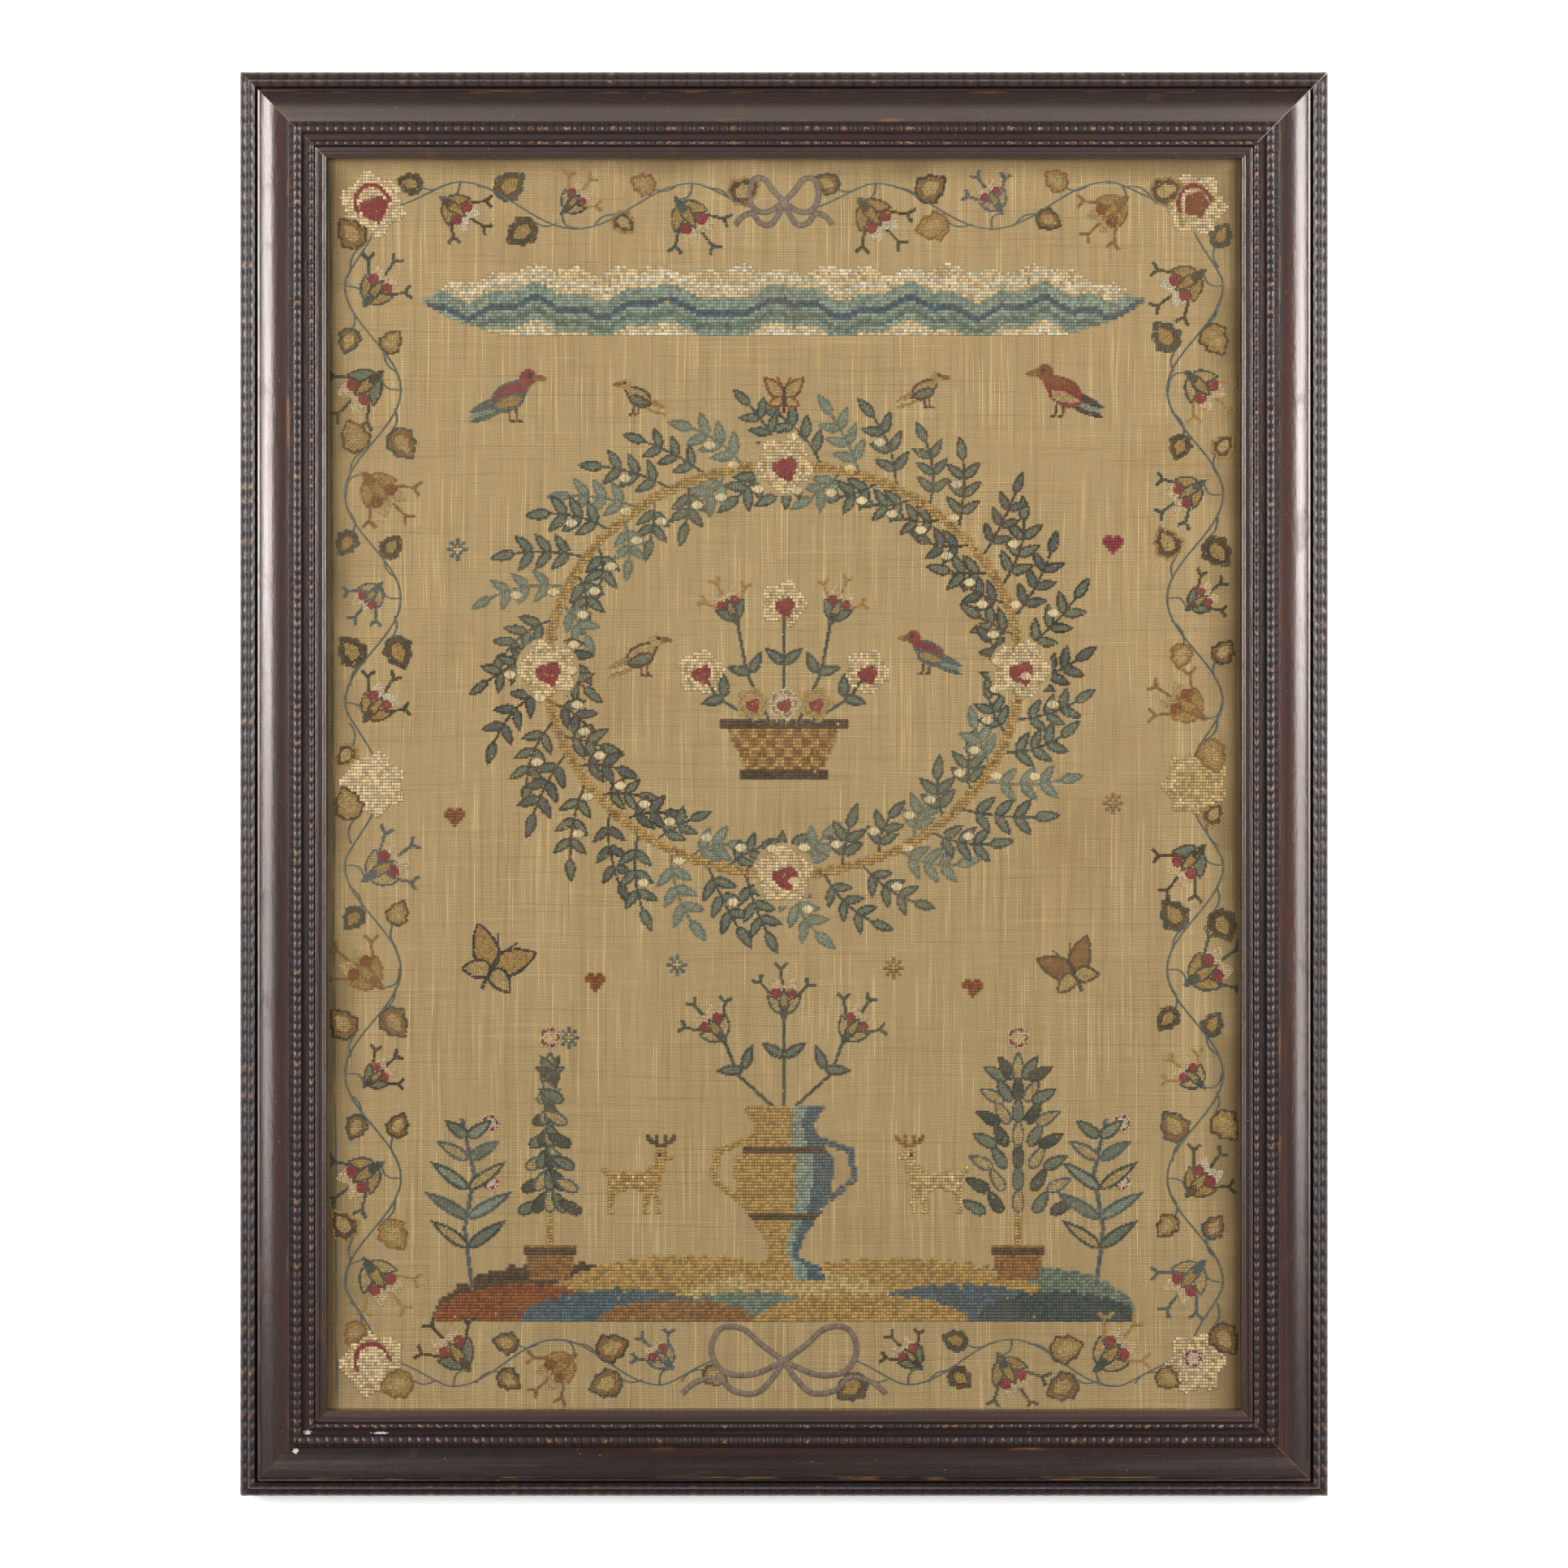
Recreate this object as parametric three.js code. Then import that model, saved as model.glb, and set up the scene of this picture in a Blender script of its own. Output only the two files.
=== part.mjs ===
// Framed needlework sampler, lying on its back with the face up.
// Millimetres, +Z up. The picture's top is towards +Y. The origin is the middle of the
// frame's back, on the surface that it rests on.
//
// The frame is four mitred rails of one moulding: an outside slope with a double reeded
// ripple strip, a groove, a narrow arris, a hollow, two ripple strips beside a groove, and a
// plain slip with a bevelled sight edge. The linen ground lies in the rebate on a plain board.

import * as THREE from 'three';
import { mergeVertices } from 'three/addons/utils/BufferGeometryUtils.js';

// Driving dimensions
const FRAME_WIDTH = 446;
const FRAME_HEIGHT = 584;
const RAIL_WIDTH = 35.85;
const FIT_GAP = 0.3;
const MITRE_GAP = 0.3;

// Heights above the back
const OUTER_SIDE_HEIGHT = 6.5;
const STRIP_LOW_EDGE = 11;
const ARRIS_HEIGHT = 20.8;
const HOLLOW_TOP = 19.4;
const HOLLOW_FOOT = 15.2;
const STRIP_SEAT = 14.6;
const SLIP_HEIGHT = 15.9;
const SIGHT_LIP = 14.7;
const LEDGE_HEIGHT = 11.2;

// Distances in from the outside of the rail
const OUTER_STRIP_WIDTH = 8.4;
const ARRIS_WIDTH = 0.9;
const HOLLOW_END = 20.9;
const BROAD_STRIP_WIDTH = 4.5;
const FINE_STRIP_START = 28.6;
const LEDGE_START = 28.4;
const SLIP_START = 31.4;
const BEVEL_WIDTH = 1.7;

// Outer ripple strip: two reeds on a slope, then a groove beside the arris
const OUTER_REEDS_WIDTH = 6.7;
const OUTER_STRIP_TOP = 15.6;
const OUTER_GROOVE_FLOOR = 12.8;
const OUTER_REED_RISE = 0.75;

// Inner ripple strips
const BEAD_WIDTH = 1;
const BEAD_BASE = 15.4;
const BEAD_RISE = 0.5;
const BROAD_REED_BASE = 16.5;
const BROAD_REED_RISE = 0.9;
const FINE_REED_BASE = 16.2;
const FINE_REED_RISE = 0.9;

// Hollow of the rail: how steeply it falls from the arris and how level it ends
const HOLLOW_START_SLOPE = THREE.MathUtils.degToRad(39);
const HOLLOW_END_SLOPE = THREE.MathUtils.degToRad(-2.5);
const HOLLOW_STEPS = 28;
const REED_STEPS = 6;

// Linen ground: its thickness, and how far it lifts off the board in soft swells
const LINEN_THICKNESS = 1.2;
const LINEN_SWELL = 0.45;
const LINEN_HELD_EDGE = 14;
const LINEN_COLUMNS = 18;
const LINEN_ROWS = 24;

// Backboard
const BOARD_THICKNESS = 6;
const BOARD_CHAMFER = 2;

const WOOD_DARK = { color: 0x3b2e2b, roughness: 0.42, metalness: 0 };
const WOOD_STRIP = { color: 0x33292a, roughness: 0.4, metalness: 0 };
const WOOD_SLIP = { color: 0x4a3a33, roughness: 0.45, metalness: 0 };
const WOOD_BARE = { color: 0x8a6a45, roughness: 0.75, metalness: 0 };
const LINEN = { color: 0xb1986e, roughness: 0.95, metalness: 0 };

const sampler = new THREE.Group();

function material(finish) {
  return new THREE.MeshStandardMaterial(finish);
}

// A reed that runs outwards from the shape's last point to (x, z), rising in its middle
function reedTo(shape, x, z, rise) {
  const from = shape.currentPoint;
  const length = Math.hypot(x - from.x, z - from.y);
  const reach = (2 * rise) / length;
  shape.quadraticCurveTo(
    (from.x + x) / 2 - (from.y - z) * reach,
    (from.y + z) / 2 + (from.x - x) * reach,
    x,
    z,
  );
}

// The hollow is an arc that falls from the arris and ends nearly level. Its points run
// from the foot back up to the top.
function hollowPoints(topX, footX) {
  const { lerp } = THREE.MathUtils;
  const points = [];
  for (let step = HOLLOW_STEPS; step >= 0; step -= 1) {
    const slope = lerp(HOLLOW_START_SLOPE, HOLLOW_END_SLOPE, step / HOLLOW_STEPS);
    const across = (Math.sin(HOLLOW_START_SLOPE) - Math.sin(slope))
      / (Math.sin(HOLLOW_START_SLOPE) - Math.sin(HOLLOW_END_SLOPE));
    const down = (Math.cos(slope) - Math.cos(HOLLOW_START_SLOPE))
      / (Math.cos(HOLLOW_END_SLOPE) - Math.cos(HOLLOW_START_SLOPE));
    points.push(new THREE.Vector2(lerp(topX, footX, across), lerp(HOLLOW_TOP, HOLLOW_FOOT, down)));
  }
  return points;
}

// Section of the main rail: x is the way in from the outside, y the height
function railSection() {
  const hollowStart = OUTER_STRIP_WIDTH + FIT_GAP + ARRIS_WIDTH;
  const shape = new THREE.Shape();
  shape.moveTo(0, 0);
  shape.lineTo(LEDGE_START, 0);
  shape.lineTo(LEDGE_START, LEDGE_HEIGHT);
  shape.lineTo(SLIP_START - FIT_GAP, LEDGE_HEIGHT);
  shape.lineTo(SLIP_START - FIT_GAP, STRIP_SEAT);
  shape.lineTo(HOLLOW_END, STRIP_SEAT);
  for (const point of hollowPoints(hollowStart, HOLLOW_END)) {
    shape.lineTo(point.x, point.y);
  }
  shape.lineTo(hollowStart, ARRIS_HEIGHT);
  shape.lineTo(OUTER_STRIP_WIDTH + FIT_GAP, ARRIS_HEIGHT);
  shape.lineTo(OUTER_STRIP_WIDTH + FIT_GAP, OUTER_SIDE_HEIGHT);
  shape.lineTo(0, OUTER_SIDE_HEIGHT);
  return shape;
}

// Section of the strip on the outside slope, with its two reeds
function outerStripSection() {
  const middle = { x: OUTER_REEDS_WIDTH / 2, z: (STRIP_LOW_EDGE + OUTER_STRIP_TOP) / 2 };
  const shape = new THREE.Shape();
  shape.moveTo(0, OUTER_SIDE_HEIGHT + FIT_GAP);
  shape.lineTo(OUTER_STRIP_WIDTH, OUTER_SIDE_HEIGHT + FIT_GAP);
  shape.lineTo(OUTER_STRIP_WIDTH, OUTER_GROOVE_FLOOR);
  shape.lineTo(OUTER_REEDS_WIDTH, OUTER_GROOVE_FLOOR);
  shape.lineTo(OUTER_REEDS_WIDTH, OUTER_STRIP_TOP);
  reedTo(shape, middle.x, middle.z, OUTER_REED_RISE);
  reedTo(shape, 0, STRIP_LOW_EDGE, OUTER_REED_RISE);
  return shape;
}

// Section of the broad strip inside the hollow: a row of beads, then a wide reed
function broadStripSection() {
  const start = HOLLOW_END + FIT_GAP;
  const end = start + BROAD_STRIP_WIDTH;
  const shape = new THREE.Shape();
  shape.moveTo(start, STRIP_SEAT + FIT_GAP);
  shape.lineTo(end, STRIP_SEAT + FIT_GAP);
  shape.lineTo(end, BROAD_REED_BASE);
  reedTo(shape, start + BEAD_WIDTH, BROAD_REED_BASE, BROAD_REED_RISE);
  shape.lineTo(start + BEAD_WIDTH, BEAD_BASE);
  reedTo(shape, start, BEAD_BASE, BEAD_RISE);
  return shape;
}

// Section of the fine strip between the groove and the slip
function fineStripSection() {
  const end = SLIP_START - FIT_GAP;
  const shape = new THREE.Shape();
  shape.moveTo(FINE_STRIP_START, STRIP_SEAT + FIT_GAP);
  shape.lineTo(end, STRIP_SEAT + FIT_GAP);
  shape.lineTo(end, FINE_REED_BASE);
  reedTo(shape, FINE_STRIP_START, FINE_REED_BASE, FINE_REED_RISE);
  return shape;
}

// Section of the slip that ends in the bevelled sight edge
function slipSection() {
  const shape = new THREE.Shape();
  shape.moveTo(SLIP_START, LEDGE_HEIGHT);
  shape.lineTo(RAIL_WIDTH, LEDGE_HEIGHT);
  shape.lineTo(RAIL_WIDTH, SIGHT_LIP);
  shape.lineTo(RAIL_WIDTH - BEVEL_WIDTH, SLIP_HEIGHT);
  shape.lineTo(SLIP_START, SLIP_HEIGHT);
  return shape;
}

// Extrudes a section and draws each end back along the mitre, so that a point further in
// from the outside is a shorter run
function mitredGeometry(section, length) {
  const geometry = new THREE.ExtrudeGeometry(section, {
    depth: 1,
    bevelEnabled: false,
    curveSegments: REED_STEPS,
  });
  const position = geometry.getAttribute('position');
  for (let index = 0; index < position.count; index += 1) {
    const end = position.getZ(index) > 0.5 ? 1 : -1;
    const half = length / 2 - position.getX(index) - MITRE_GAP / Math.SQRT2;
    position.setZ(index, end * half);
  }
  geometry.deleteAttribute('normal');
  geometry.deleteAttribute('uv');
  const merged = mergeVertices(geometry, 1e-4);
  merged.computeVertexNormals();
  return merged;
}

// Each side of the frame: where its outside edge runs, and the turn that points inwards
const SIDES = [
  { name: 'left', x: -FRAME_WIDTH / 2, y: 0, turn: 0, length: FRAME_HEIGHT },
  { name: 'bottom', x: 0, y: -FRAME_HEIGHT / 2, turn: Math.PI / 2, length: FRAME_WIDTH },
  { name: 'right', x: FRAME_WIDTH / 2, y: 0, turn: Math.PI, length: FRAME_HEIGHT },
  { name: 'top', x: 0, y: FRAME_HEIGHT / 2, turn: -Math.PI / 2, length: FRAME_WIDTH },
];

const MOULDINGS = [
  { name: 'rail', section: railSection, finish: WOOD_DARK },
  { name: 'outer_ripple', section: outerStripSection, finish: WOOD_STRIP },
  { name: 'broad_ripple', section: broadStripSection, finish: WOOD_STRIP },
  { name: 'fine_ripple', section: fineStripSection, finish: WOOD_STRIP },
  { name: 'sight_slip', section: slipSection, finish: WOOD_SLIP },
];

for (const side of SIDES) {
  const edge = new THREE.Group();
  edge.position.set(side.x, side.y, 0);
  edge.rotation.z = side.turn;
  for (const moulding of MOULDINGS) {
    const mesh = new THREE.Mesh(
      mitredGeometry(moulding.section(), side.length),
      material(moulding.finish),
    );
    mesh.name = `${moulding.name}_${side.name}`;
    mesh.rotation.x = Math.PI / 2;
    edge.add(mesh);
  }
  sampler.add(edge);
}

// Plan size of what lies in the rebate
const REBATE_WIDTH = FRAME_WIDTH - 2 * (LEDGE_START + FIT_GAP);
const REBATE_HEIGHT = FRAME_HEIGHT - 2 * (LEDGE_START + FIT_GAP);

// How far the linen lifts at a point: nothing where the frame holds its edge, and soft
// swells that run mostly up and down in the middle
function linenLift(x, y) {
  const toSide = REBATE_WIDTH / 2 - Math.abs(x);
  const toEnd = REBATE_HEIGHT / 2 - Math.abs(y);
  const held = THREE.MathUtils.smoothstep(Math.min(toSide, toEnd), LINEN_HELD_EDGE / 2, 3 * LINEN_HELD_EDGE);
  const wave = Math.sin(x / 31 + 0.8 * Math.sin(y / 83)) * Math.cos(y / 67 + 0.5 * Math.sin(x / 47));
  return LINEN_SWELL * held * (0.5 + 0.5 * wave);
}

function linenGround() {
  const geometry = new THREE.BoxGeometry(
    REBATE_WIDTH,
    REBATE_HEIGHT,
    LINEN_THICKNESS,
    LINEN_COLUMNS,
    LINEN_ROWS,
    1,
  );
  const position = geometry.getAttribute('position');
  for (let index = 0; index < position.count; index += 1) {
    const lift = linenLift(position.getX(index), position.getY(index));
    position.setZ(index, position.getZ(index) + lift);
  }
  geometry.computeVertexNormals();
  const mesh = new THREE.Mesh(geometry, material(LINEN));
  mesh.name = 'linen_ground';
  mesh.position.z = LEDGE_HEIGHT - FIT_GAP - LINEN_THICKNESS / 2;
  return mesh;
}

// The board behind the linen, with its back edges chamfered
function backboard() {
  const halfWidth = REBATE_WIDTH / 2 - BOARD_CHAMFER;
  const halfHeight = REBATE_HEIGHT / 2 - BOARD_CHAMFER;
  const outline = new THREE.Shape([
    new THREE.Vector2(-halfWidth, -halfHeight),
    new THREE.Vector2(halfWidth, -halfHeight),
    new THREE.Vector2(halfWidth, halfHeight),
    new THREE.Vector2(-halfWidth, halfHeight),
  ]);
  const geometry = new THREE.ExtrudeGeometry(outline, {
    depth: BOARD_THICKNESS - 2 * BOARD_CHAMFER,
    bevelThickness: BOARD_CHAMFER,
    bevelSize: BOARD_CHAMFER,
    bevelSegments: 1,
  });
  const position = geometry.getAttribute('position');
  const front = BOARD_THICKNESS - BOARD_CHAMFER;
  for (let index = 0; index < position.count; index += 1) {
    if (position.getZ(index) > front - 1e-4) {
      const stretchX = (halfWidth + BOARD_CHAMFER) / halfWidth;
      const stretchY = (halfHeight + BOARD_CHAMFER) / halfHeight;
      position.setX(index, position.getX(index) * stretchX);
      position.setY(index, position.getY(index) * stretchY);
    }
  }
  geometry.deleteAttribute('normal');
  geometry.deleteAttribute('uv');
  const merged = mergeVertices(geometry, 1e-4);
  merged.computeVertexNormals();
  const mesh = new THREE.Mesh(merged, material(WOOD_BARE));
  mesh.name = 'backboard';
  const top = LEDGE_HEIGHT - FIT_GAP - LINEN_THICKNESS - FIT_GAP;
  mesh.position.z = top - BOARD_THICKNESS + BOARD_CHAMFER;
  return mesh;
}

sampler.add(linenGround());
sampler.add(backboard());

export default sampler;
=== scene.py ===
import math

import bmesh
import bpy
import numpy as np
from bpy.props import FloatProperty, FloatVectorProperty, IntProperty, PointerProperty
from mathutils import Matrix, Vector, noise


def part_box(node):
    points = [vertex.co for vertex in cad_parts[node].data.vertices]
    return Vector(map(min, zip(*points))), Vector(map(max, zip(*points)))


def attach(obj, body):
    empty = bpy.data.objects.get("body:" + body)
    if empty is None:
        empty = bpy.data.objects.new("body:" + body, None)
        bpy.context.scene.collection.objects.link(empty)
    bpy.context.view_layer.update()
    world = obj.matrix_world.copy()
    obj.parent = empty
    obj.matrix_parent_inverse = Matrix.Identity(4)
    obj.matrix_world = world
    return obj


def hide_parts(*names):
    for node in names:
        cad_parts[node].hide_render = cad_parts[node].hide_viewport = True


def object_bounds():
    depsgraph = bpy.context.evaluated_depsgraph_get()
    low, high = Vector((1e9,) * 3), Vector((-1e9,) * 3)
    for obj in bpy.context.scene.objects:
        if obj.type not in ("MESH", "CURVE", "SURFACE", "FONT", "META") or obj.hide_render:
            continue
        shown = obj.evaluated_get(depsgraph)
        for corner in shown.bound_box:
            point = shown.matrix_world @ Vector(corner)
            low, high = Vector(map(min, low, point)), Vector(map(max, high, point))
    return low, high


bl_info = {
    "name": "Framed Needlework Sampler",
    "version": (1, 0, 0),
    "blender": (4, 5, 0),
    "location": "View3D > Sidebar > Sampler",
    "description": "Builds a stitched linen sampler in a ripple-moulded wooden frame",
    "category": "Object",
}

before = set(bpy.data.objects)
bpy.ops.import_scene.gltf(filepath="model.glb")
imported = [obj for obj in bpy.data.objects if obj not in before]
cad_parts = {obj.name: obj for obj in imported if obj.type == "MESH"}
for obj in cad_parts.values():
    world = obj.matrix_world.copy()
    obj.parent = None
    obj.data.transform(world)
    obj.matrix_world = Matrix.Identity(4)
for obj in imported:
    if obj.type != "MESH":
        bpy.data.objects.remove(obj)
CAD_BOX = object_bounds()

MM = 0.001


# Sizes read from the frame, in metres

HALF_WIDTH = CAD_BOX[1].x
HALF_HEIGHT = CAD_BOX[1].y
RAIL_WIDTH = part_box("sight_slip_left")[1].x + HALF_WIDTH
SIGHT_X = HALF_WIDTH - RAIL_WIDTH
SIGHT_Y = HALF_HEIGHT - RAIL_WIDTH
LINEN_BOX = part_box("linen_ground")
LINEN_X = LINEN_BOX[1].x
LINEN_Y = LINEN_BOX[1].y
LEDGE_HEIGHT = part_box("sight_slip_left")[0].z
FIT_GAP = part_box("rail_left")[0].z + 0.3 * MM
LINEN_FACE = LEDGE_HEIGHT - FIT_GAP
LINEN_THICKNESS = LINEN_FACE - LINEN_BOX[0].z

# How far each mitre stands open, by the sides that meet there
MITRE_OPENINGS = {
    frozenset(("left", "top")): 0.03 * MM,
    frozenset(("right", "top")): 0.3 * MM,
    frozenset(("left", "bottom")): 0.3 * MM,
    frozenset(("right", "bottom")): 0.08 * MM,
}

# Each side of the frame: the middle of its outside edge, the turn that points inwards,
# the length of that edge, and the sides that it meets at its start and end
SIDES = {
    "left": (-HALF_WIDTH, 0, 0, 2 * HALF_HEIGHT, "top", "bottom"),
    "bottom": (0, -HALF_HEIGHT, math.pi / 2, 2 * HALF_WIDTH, "left", "right"),
    "right": (HALF_WIDTH, 0, math.pi, 2 * HALF_HEIGHT, "bottom", "top"),
    "top": (0, HALF_HEIGHT, -math.pi / 2, 2 * HALF_WIDTH, "right", "left"),
}


# How brightly the lamps light the cloth, where 1 shows a surface in its own colour
LIGHT_LEVEL = 1.24


def shown(red, green, blue):
    """The surface colour that shows on screen as these values of 0 to 255 under the lamps."""
    return tuple(
        ((value / 255 + 0.055) / 1.055) ** 2.4 / LIGHT_LEVEL
        for value in (red, green, blue)
    )


THREADS = {
    "cream": shown(226, 200, 152),
    "straw": shown(202, 172, 110),
    "gold": shown(188, 150, 80),
    "ochre": shown(156, 110, 54),
    "brown": shown(96, 72, 42),
    "olive": shown(64, 58, 36),
    "sage": shown(122, 134, 112),
    "teal": shown(64, 80, 74),
    "slate": shown(90, 106, 109),
    "mist": shown(150, 162, 141),
    "crimson": shown(158, 44, 56),
    "rust": shown(148, 82, 32),
    "ink": shown(50, 46, 52),
    "silk": shown(230, 216, 182),
}
THREAD_NAMES = list(THREADS)


# Sizes and colours that a user would change

def length_setting(name, description, default, low, high):
    """A length, given in millimetres."""
    return FloatProperty(name=name, description=description, default=default * MM, min=low * MM,
                         max=high * MM, unit="LENGTH", precision=5)


class SamplerSizes(bpy.types.PropertyGroup):
    """Sizes of the stitching and of the rippled mouldings."""

    stitch_width: length_setting(
        "Stitch width", "Width of one cross stitch on the count", 1.2, 0.5, 4)
    stitch_height: length_setting(
        "Stitch height", "Height of one cross stitch on the count", 1.3, 0.5, 4)
    thread_width: length_setting(
        "Thread width", "Width of the embroidery thread as it lies", 0.6, 0.1, 2)
    thread_rise: length_setting(
        "Thread rise", "How far the lower leg of a stitch stands up", 0.3, 0.05, 1)
    linen_pitch: length_setting(
        "Linen thread pitch", "Distance between the linen's threads", 0.62, 0.2, 2)
    outer_pitch: length_setting(
        "Outer ripple pitch", "Distance between ripples outside", 5.67, 1, 20)
    inner_pitch: length_setting(
        "Inner ripple pitch", "Distance between ripples inside", 3.75, 1, 20)
    outer_depth: length_setting(
        "Outer ripple depth", "How deep the outer ripples are cut", 0.42, 0, 3)
    inner_depth: length_setting(
        "Inner ripple depth", "How deep the inner ripples are cut", 0.46, 0, 3)
    seed: IntProperty(
        name="Seed", description="Fixed start of every random choice", default=7, min=0, max=999)


class SamplerColours(bpy.types.PropertyGroup):
    """Colours of the cloth, the woods and the threads."""

    __annotations__ = {
        name: FloatVectorProperty(
            name=name.capitalize(), description=f"Colour of the {what}",
            default=colour, size=3, min=0, max=1, subtype="COLOR")
        for name, what, colour in [
            ("linen", "linen ground", shown(181, 154, 106)),
            ("stain", "dark stained wood", shown(53, 41, 38)),
            ("bare_wood", "wood where the stain is worn off", shown(176, 122, 60)),
            ("board", "board at the back", shown(142, 110, 74)),
            ("ribbon", "satin stitched ribbon", shown(124, 106, 86)),
            ("vine", "stem stitched vine", shown(70, 88, 84)),
            ("fruit", "satin stitched fruit", shown(214, 192, 142)),
            ("floor", "pale floor", (0.93, 0.93, 0.93)),
        ] + [(name, f"{name} thread", colour) for name, colour in THREADS.items()]
    }


# Node helpers

class Wire:
    """A node's output socket. Arithmetic on it adds a Math node and gives that node's output."""

    def __init__(self, socket):
        self.socket = socket
        self.tree = socket.id_data

    def step(self, operation, *others):
        """One step of arithmetic that starts from this wire."""
        return math_step(self.tree, operation, self, *others)

    def __add__(self, other):
        return self.step("ADD", other)

    def __sub__(self, other):
        return self.step("SUBTRACT", other)

    def __rsub__(self, other):
        return math_step(self.tree, "SUBTRACT", other, self)

    def __mul__(self, other):
        return self.step("MULTIPLY", other)

    def __truediv__(self, other):
        return self.step("DIVIDE", other)

    def __pow__(self, other):
        return self.step("POWER", other)

    def __abs__(self):
        return self.step("ABSOLUTE")


def socket_of(sockets, key):
    """A node's socket by place, or by name among those in use."""
    if isinstance(key, str):
        return next(socket for socket in sockets if socket.name == key and socket.enabled)
    return sockets[key]


def add(tree, kind, feeds=None, **settings):
    """A new node with its settings, and its inputs linked or set."""
    node = tree.nodes.new(kind)
    for key, value in settings.items():
        setattr(node, key, value)
    for key, value in (feeds or {}).items():
        socket = socket_of(node.inputs, key)
        if isinstance(value, Wire):
            tree.links.new(value.socket, socket)
        else:
            socket.default_value = value
    return node


def wire(tree, kind, feeds=None, output=0, **settings):
    """One output of a new node."""
    return Wire(socket_of(add(tree, kind, feeds, **settings).outputs, output))


def math_step(tree, operation, *values):
    """One step of arithmetic."""
    return wire(tree, "ShaderNodeMath", dict(enumerate(values)), operation=operation)


def vector_step(operation, *values, output="Vector", **named):
    """One step of vector arithmetic, which starts from a wire."""
    feeds = dict(enumerate(values)) | named
    return wire(values[0].tree, "ShaderNodeVectorMath", feeds, output, operation=operation)


def parts_of(vector):
    """The X, Y and Z of a vector."""
    node = add(vector.tree, "ShaderNodeSeparateXYZ", {"Vector": vector})
    return [Wire(socket) for socket in node.outputs]


def vector_of(tree, **parts):
    """A vector from its X, Y and Z, nought where one isn't given."""
    return wire(tree, "ShaderNodeCombineXYZ", parts)


def ramp(value, low, high, to_low=0.0, to_high=1.0):
    """A smooth step from to_low to to_high as value goes from low to high."""
    return wire(value.tree, "ShaderNodeMapRange", {
        "Value": value, "From Min": low, "From Max": high, "To Min": to_low, "To Max": to_high,
    }, "Result", interpolation_type="SMOOTHSTEP")


def band(value, low, high, soft):
    """One inside low to high, fading to nought over soft on each side."""
    return ramp(value, low - soft, low) * ramp(value, high, high + soft, 1.0, 0.0)


def speckle(vector, scale, detail=4.0, roughness=0.55):
    """Noise over a position, about 0 to 1."""
    return wire(vector.tree, "ShaderNodeTexNoise", {
        "Vector": vector, "Scale": scale, "Detail": detail, "Roughness": roughness,
    }, "Fac")


def stretched(vector, scale, turn=(0, 0, 0)):
    """A position scaled, and turned, before a pattern reads it."""
    return wire(vector.tree, "ShaderNodeMapping",
                {"Vector": vector, "Scale": scale, "Rotation": turn})


def streaks(vector, scale, detail, roughness=0.55, fineness=1.0):
    """Noise with a scale of its own along each axis."""
    return speckle(stretched(vector, scale), fineness, detail, roughness)


def shade(colour, factor):
    """A colour multiplied by a grey factor."""
    return vector_step("SCALE", colour, Scale=factor)


def tinted(colour, *factors):
    """Red, green and blue multiplied by a factor each, or all by one."""
    return tuple(value * factor for value, factor in zip(colour, factors * 3))


def layered(colour, *layers):
    """A colour with others laid over it, each through its own mask."""
    for mask, over in layers:
        first, second = (part if isinstance(part, Wire) else (*part, 1) for part in (colour, over))
        colour = wire(mask.tree, "ShaderNodeMix", {0: mask, 6: first, 7: second}, 2,
                      data_type="RGBA")
    return colour


def node_group(name, inputs, *outputs):
    """Turns a function into one that gives a node group, which is filled the first time.

    Inputs hold a number to start from or the kind of socket. The function takes them in
    order and gives the outputs in order.
    """
    solid = outputs == ("Geometry",)

    def socket_kind(value):
        kind = value if isinstance(value, str) else type(value).__name__.capitalize()
        return f"NodeSocket{kind}"

    def wrap(fill):
        def fetch():
            if name in bpy.data.node_groups:
                return bpy.data.node_groups[name]
            tree = bpy.data.node_groups.new(name, "GeometryNodeTree" if solid else "ShaderNodeTree")
            for label, value in inputs.items():
                socket = tree.interface.new_socket(
                    label, in_out="INPUT", socket_type=socket_kind(value))
                if not isinstance(value, str):
                    socket.default_value = value
            for label in outputs:
                tree.interface.new_socket(
                    label, in_out="OUTPUT", socket_type=socket_kind("Geometry" if solid else 1.0))
            given = tree.nodes.new("NodeGroupInput")
            result = tree.nodes.new("NodeGroupOutput")
            made = fill(*(Wire(socket) for socket in list(given.outputs)[:len(inputs)]))
            for socket, value in zip(result.inputs, made if isinstance(made, tuple) else (made,)):
                tree.links.new(value.socket, socket)
            return tree
        return fetch
    return wrap


# Shader groups

@node_group("Wood grain", {"Position": "Vector", "Fineness": 1.0}, "Streak", "Pores", "Height")
def grain_group(at, fineness):
    """Wood grain that runs along Y: long streaks, dark pores and a height."""
    streak = streaks(at, (420, 9, 420), 5.0, 0.62, fineness)
    pores = streaks(at, (2600, 130, 2600), 3.0, 0.6, fineness)
    return ramp(streak, 0.3, 0.7), ramp(pores, 0.34, 0.5, 1, 0), pores * 0.6 + streak * 0.4


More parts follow.
